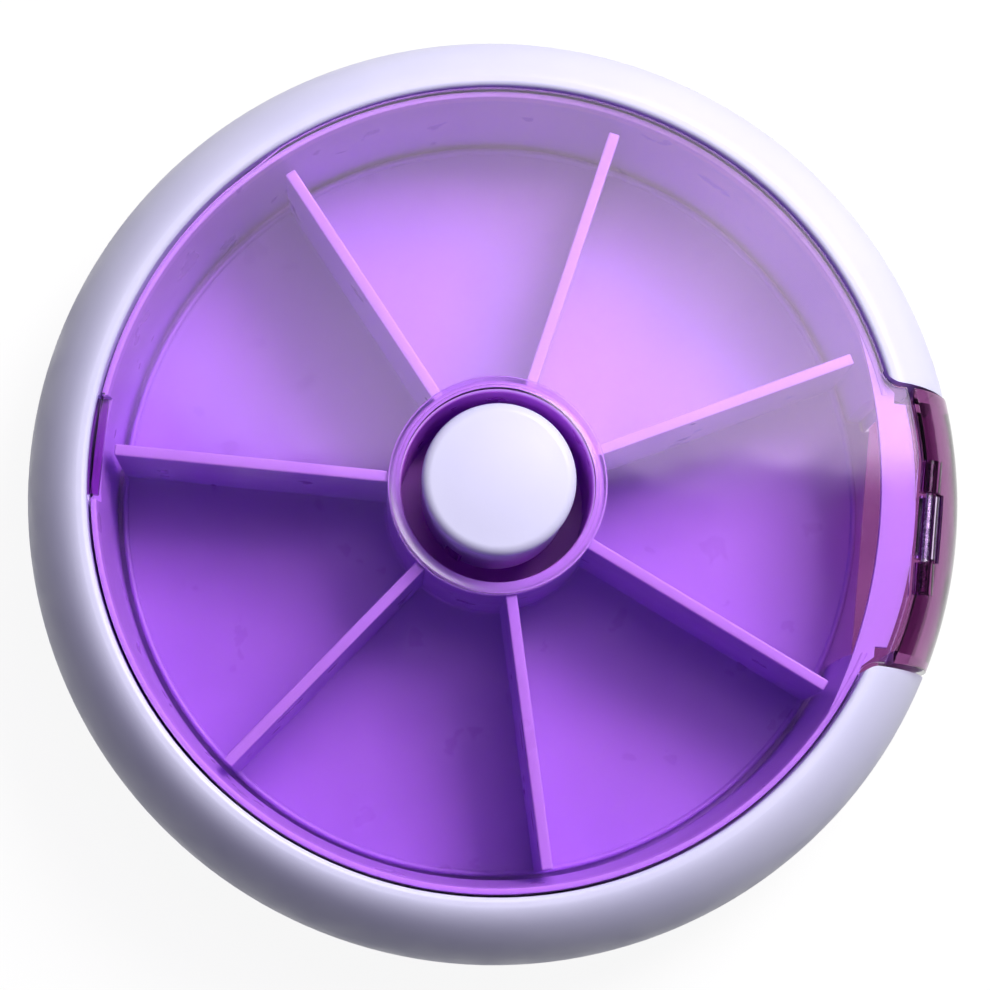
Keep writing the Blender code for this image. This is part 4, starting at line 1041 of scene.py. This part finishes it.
def makeDoor():
    # tinted curved shell with cheeks, bottom web and hinge barrels
    halfWidth = housing["outletHalfWidth"] - gap["edge"]
    edgeRadius = tongueRadius + flapLook["seam"]
    cheekTop = coverUnder - gap["fit"]
    wall = flapLook["wall"]
    bottom = flapLook["bottom"]
    across = outerRadius - topCentre
    topRadius = edgeRadius + flapLook["topChamfer"]
    start = math.degrees(math.acos((topRadius - topCentre) / across))
    drop = housing["baseShoulder"]
    end = math.degrees(math.asin((drop - bottom) / drop))
    topArc = curve((topCentre, shoulderLevel), (across, housing["ringShoulder"]), start, 0, 24)
    footCentre = (housing["footRadius"], drop)
    footAcross = outerRadius - housing["footRadius"]
    outside = [*topArc, *curve(footCentre, (footAcross, drop), 0, -end, 20)]
    webStart = math.degrees(math.asin((drop - bottom - wall) / (drop - wall)))
    innerSizes = (across - wall, housing["ringShoulder"] - wall)
    innerEnd = math.degrees(math.acos((edgeRadius - topCentre) / innerSizes[0]))
    inside = [
        *curve(footCentre, (footAcross - wall, drop - wall), -webStart, 0, 12),
        *curve((topCentre, shoulderLevel), innerSizes, 0, innerEnd, 14),
    ]
    core = bowlRadius - bowlLook["wall"] - flapLook["cheek"]
    webTop = bottom + wall
    solid = [
        *outside,
        (core, bottom),
        (core, cheekTop),
        (edgeRadius, cheekTop),
        (edgeRadius, outside[0][1] - flapLook["topChamfer"]),
    ]
    sweep, steps = flapLook["sweep"], flapLook["steps"]
    door = partTurned("outletDoor", solid, -sweep / 2, sweep, steps)
    reach = outerRadius + gap["over"]
    above = housingTop + gap["over"]
    keepInside(door, block("trim", flapLook["webX"], reach, -halfWidth, halfWidth, 0, above))
    softenEdges(door, flapLook["edge"], 2, 50)
    far = core - gap["over"]
    room = [(far, webTop), *inside, (far, inside[-1][1])]
    hollow = partTurned("hollow", room, -sweep / 2, sweep, steps)
    inner = halfWidth - flapLook["cheek"]
    keepInside(hollow, block("hollowTrim", 0, reach, -inner, inner, 0, above))
    side = housing["outletHalfWidth"]
    heel = block("heel", 0, housing["openingRadius"], -side, side, webTop, above)
    slotHalf = plateLook["barrelHalfLength"] + gap["fit"]
    barrelRadius = plateLook["barrelRadius"]
    cut(door, hollow, heel, hingeRod("slot", barrelRadius + gap["edge"], -slotHalf, slotHalf))
    barrelStart = plateLook["barrelHalfLength"] + gap["edge"]
    barrelEnd = plateLook["doorBarrelEnd"]
    join(door, hingeRod("barrelA", barrelRadius, barrelStart, barrelEnd))
    join(door, hingeRod("barrelB", barrelRadius, -barrelEnd, -barrelStart))
    boreHalf = pinHigh.y + gap["fit"]
    cut(door, hingeRod("bore", pinRadius + gap["fit"], -boreHalf, boreHalf))
    smooth(door)
    dress(door, shadedDoorPlastic, "door", "outlet_door")


makeDoor()


# white centre button, domed, with its skirt and stem
knobLook = {
    "edge": 0.0010,
    "crown": 0.00035,
    "flare": 0.00020,  # of the head past the skirt
    "flareEnd": 0.0215,
    "head": 0.0032,
    "skirtBottom": 0.0120,
    "skirtInner": 0.00595,
    "stemRadius": 0.0022,
    "grooveLow": 0.00305,
    "grooveHeight": 0.0010,
    "grooveDepth": 0.0006,
    "slotTop": 0.0161,
    "slotWidth": 0.0019,
}


def makeButton():
    top = buttonHigh.z
    edge = knobLook["edge"]
    headRadius = buttonRadius + knobLook["flare"]
    edgeRadius = headRadius - edge
    headLow = top - knobLook["head"]
    stem = knobLook["stemRadius"]
    grooveRadius = stem - knobLook["grooveDepth"]
    grooveLow = knobLook["grooveLow"]
    grooveHigh = grooveLow + knobLook["grooveHeight"]
    crownDrop = knobLook["crown"]
    crown = [(edgeRadius * share, top - crownDrop * share**2) for share in (0, 0.2, 0.4, 0.6, 0.8)]
    skirtInner = knobLook["skirtInner"]
    skirtLow = knobLook["skirtBottom"]
    soft = gap["fit"] / 2
    profile = [
        *crown,
        *curve((edgeRadius, top - crownDrop - edge), (edge, edge), 90, 0, 14),
        (buttonRadius, knobLook["flareEnd"]),
        *curve((buttonRadius - soft, skirtLow + soft), (soft, soft), 0, -90, 2),
        (skirtInner, skirtLow),
        (skirtInner, headLow),
        (stem, headLow),
        (stem, grooveHigh),
        (grooveRadius, grooveHigh),
        (grooveRadius, grooveLow),
        (stem, grooveLow),
        (stem, buttonLow.z + soft),
        (stem - soft, buttonLow.z),
        (0, buttonLow.z),
    ]
    button = turned("centreButton", profile, 128, closed=False)
    slotInner = (wheelLook["bossRadius"] + skirtInner) / 2
    slotOuter = buttonRadius + gap["over"]
    slotLow, slotTop = skirtLow - gap["over"], knobLook["slotTop"]
    for number in range(wheelLook["keys"]):
        turn = 360 / wheelLook["keys"] * number
        cut(button, spoke("slot", slotInner, slotOuter, knobLook["slotWidth"], slotLow, slotTop, turn))
    smooth(button)
    dress(button, whitePlastic, "button", "centre_button")


makeButton()

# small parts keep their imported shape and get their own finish
partFinishes = {
    "button_spring": drawnSteel,
    "index_leaf": drawnSteel,
    "stem_circlip": drawnSteel,
    "door_hinge_pin": drawnSteel,
    "slip_washer": washerPlastic,
    **{f"housing_screw_{number}": drawnSteel for number in (1, 2, 3, 4)},
}
for nodeName, finish in partFinishes.items():
    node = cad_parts[nodeName]
    node.data.materials.clear()
    node.data.materials.append(finish)
print("small parts finished")


# floor and light
studio = {
    "floorSize": 1.6,
    "skyColour": (0.70, 0.68, 1.0),
    "skyStrength": 0.11,
    "keyPower": 4.15,
    "keySize": 0.28,
    "keyPlace": (0.235, 0.305, 0.48),
    "keyColour": (1, 0.99, 0.97),
    "panelGlow": 2.7,
    "panelColour": (0.93, 0.76, 1.0),
    "panelWidth": 0.30,
    "panelDepth": 0.17,
    "panelHeight": 0.62,
    "panelRight": 0.016,  # of its middle, and of its near edge upwards in the picture
    "panelUp": 0.088,
    "panelSharpness": (20, 250),  # of its near edge, at the left and from the middle on
    "panelAside": (0.42, 2.45),  # strength at the left and at the right
    "panelCloud": (0.82, 1.12),
    "panelCloudScale": 9.0,
    "floorBounce": 0.07,
    "floorGlow": 0.92,
    "floorShade": 0.10,
}
imageUp = Vector((-0.094, 0.996, 0)).normalized()
imageRight = Vector((imageUp.y, -imageUp.x, 0))


def cameraSeesWhite(tree):
    # the camera, reflections and clear plastic see a white ground that keeps its shadow
    ray = tree.nodes.new("ShaderNodeLightPath").outputs
    seen = calculate(tree, "MAXIMUM", ray["Is Camera Ray"], ray["Is Glossy Ray"])
    return calculate(tree, "MAXIMUM", seen, ray["Is Transmission Ray"])


def makeFloor():
    deselectAll()
    size = studio["floorSize"]
    bpy.ops.mesh.primitive_circle_add(vertices=96, radius=size, fill_type="NGON", location=(0, 0, 0))
    floor = bpy.context.object
    floor.name = "floor"
    bpy.ops.object.mode_set(mode="EDIT")
    bpy.ops.mesh.select_all(action="SELECT")
    bpy.ops.mesh.inset(thickness=size / 3)
    bpy.ops.object.mode_set(mode="OBJECT")
    finish, tree, shader = startFinish("floorPaint")[:3]
    bounce = studio["floorBounce"]
    shader.inputs["Base Color"].default_value = (bounce, bounce, bounce, 1)
    shader.inputs["Roughness"].default_value = 0.9
    white = tree.nodes.new("ShaderNodeEmission")
    white.inputs["Color"].default_value = (1, 1, 1, 1)
    white.inputs["Strength"].default_value = studio["floorGlow"]
    paint = tree.nodes.new("ShaderNodeBsdfDiffuse")
    shade = studio["floorShade"]
    paint.inputs["Color"].default_value = (shade, shade, shade, 1)
    both = tree.nodes.new("ShaderNodeAddShader")
    tree.links.new(white.outputs["Emission"], both.inputs[0])
    tree.links.new(paint.outputs["BSDF"], both.inputs[1])
    surface = blendShaders(tree, cameraSeesWhite(tree), shader.outputs["BSDF"], both.outputs["Shader"])
    tree.links.new(surface, tree.nodes["Material Output"].inputs["Surface"])
    floor.data.materials.append(finish)


def makeSky():
    world = bpy.data.worlds.new("studio")
    world.use_nodes = True
    tree = world.node_tree
    sky = tree.nodes["Background"]
    sky.inputs["Color"].default_value = (*studio["skyColour"], 1)
    sky.inputs["Strength"].default_value = studio["skyStrength"]
    white = tree.nodes.new("ShaderNodeBackground")
    white.inputs["Color"].default_value = (1, 1, 1, 1)
    white.inputs["Strength"].default_value = 1.0
    seen = tree.nodes.new("ShaderNodeLightPath").outputs["Is Camera Ray"]
    around = blendShaders(tree, seen, sky.outputs["Background"], white.outputs["Background"])
    tree.links.new(around, tree.nodes["World Output"].inputs["Surface"])
    bpy.context.scene.world = world


def facing(place, target):
    # stands at a place and looks at a target, with the picture's up kept upright
    back = (Vector(place) - Vector(target)).normalized()
    side = imageUp.cross(back).normalized()
    turn = Matrix((side, back.cross(side), back)).transposed().to_4x4()
    return Matrix.Translation(place) @ turn


def makeKeyLamp():
    lamp = bpy.data.lights.new("keyLamp", "AREA")
    lamp.shape = "RECTANGLE"
    lamp.size = studio["keySize"]
    lamp.size_y = studio["keySize"]
    lamp.energy = studio["keyPower"]
    lamp.color = studio["keyColour"]
    holder = bpy.data.objects.new("keyLamp", lamp)
    bpy.context.scene.collection.objects.link(holder)
    holder.matrix_world = facing(studio["keyPlace"], (0, 0, housingTop))


def makePanel():
    # pale panel whose reflection veils the half of the cover away from the camera
    width, depth = studio["panelWidth"], studio["panelDepth"]
    panelCentre = studio["panelRight"] * imageRight + (studio["panelUp"] + depth / 2) * imageUp
    deselectAll()
    bpy.ops.mesh.primitive_plane_add(size=1, location=(0, 0, 0))
    bpy.ops.transform.resize(value=(width, depth, 1))
    bpy.ops.object.transform_apply(location=True, rotation=True, scale=True)
    panel = bpy.context.object
    panel.name = "panel"
    panelCentre.z = studio["panelHeight"]
    turn = Matrix((imageRight, imageUp, Vector((0, 0, 1)))).transposed().to_4x4()
    panel.matrix_world = Matrix.Translation(panelCentre) @ turn
    finish, tree, shader, place = startFinish("panelGlow")
    tree.nodes.remove(shader)
    glow = tree.nodes.new("ShaderNodeEmission")
    glow.inputs["Color"].default_value = (*studio["panelColour"], 1)
    split = tree.nodes.new("ShaderNodeSeparateXYZ")
    tree.links.new(place, split.inputs["Vector"])
    # its near edge is sharp on the right and fades out on the left
    across, up = split.outputs["X"], split.outputs["Y"]
    sharpness = mapRange(tree, across, -width / 3, 0, *studio["panelSharpness"])
    rise = calculate(tree, "ADD", up, depth / 2)
    nearFade = mapRange(tree, calculate(tree, "MULTIPLY", rise, sharpness), 0, 1, 0, 1)
    patches = noise(tree, place, studio["panelCloudScale"], 4.0)
    cloud = mapRange(tree, patches, 0.35, 0.68, *studio["panelCloud"])
    aside = mapRange(tree, across, -width / 2, width / 2, *studio["panelAside"])
    strength = calculate(tree, "MULTIPLY", calculate(tree, "MULTIPLY", nearFade, aside), cloud)
    strength = calculate(tree, "MULTIPLY", strength, studio["panelGlow"])
    tree.links.new(strength, glow.inputs["Strength"])
    tree.links.new(glow.outputs["Emission"], tree.nodes["Material Output"].inputs["Surface"])
    panel.data.materials.append(finish)


makeFloor()
makeSky()
makeKeyLamp()
makePanel()
print("studio lit")

# camera, nearly straight above as in the photograph
view = {
    "place": (-0.0080, -0.0426, 0.3162),
    "level": 0.0193,  # height it looks at
    "down": 0.0008,  # from the axis, in the picture
    "left": 0.0002,
    "lens": 115.0,
}
aim = Vector((0, 0, view["level"])) - view["down"] * imageUp - view["left"] * imageRight
camera = bpy.data.cameras.new("camera")
camera.lens = view["lens"]
camera.sensor_width = 36.0
camera.clip_start = 0.01
camera.clip_end = 10.0
cameraHolder = bpy.data.objects.new("camera", camera)
bpy.context.scene.collection.objects.link(cameraHolder)
cameraHolder.matrix_world = facing(view["place"], aim)
bpy.context.scene.camera = cameraHolder
bpy.context.scene.view_settings.view_transform = "Standard"
print("camera placed")
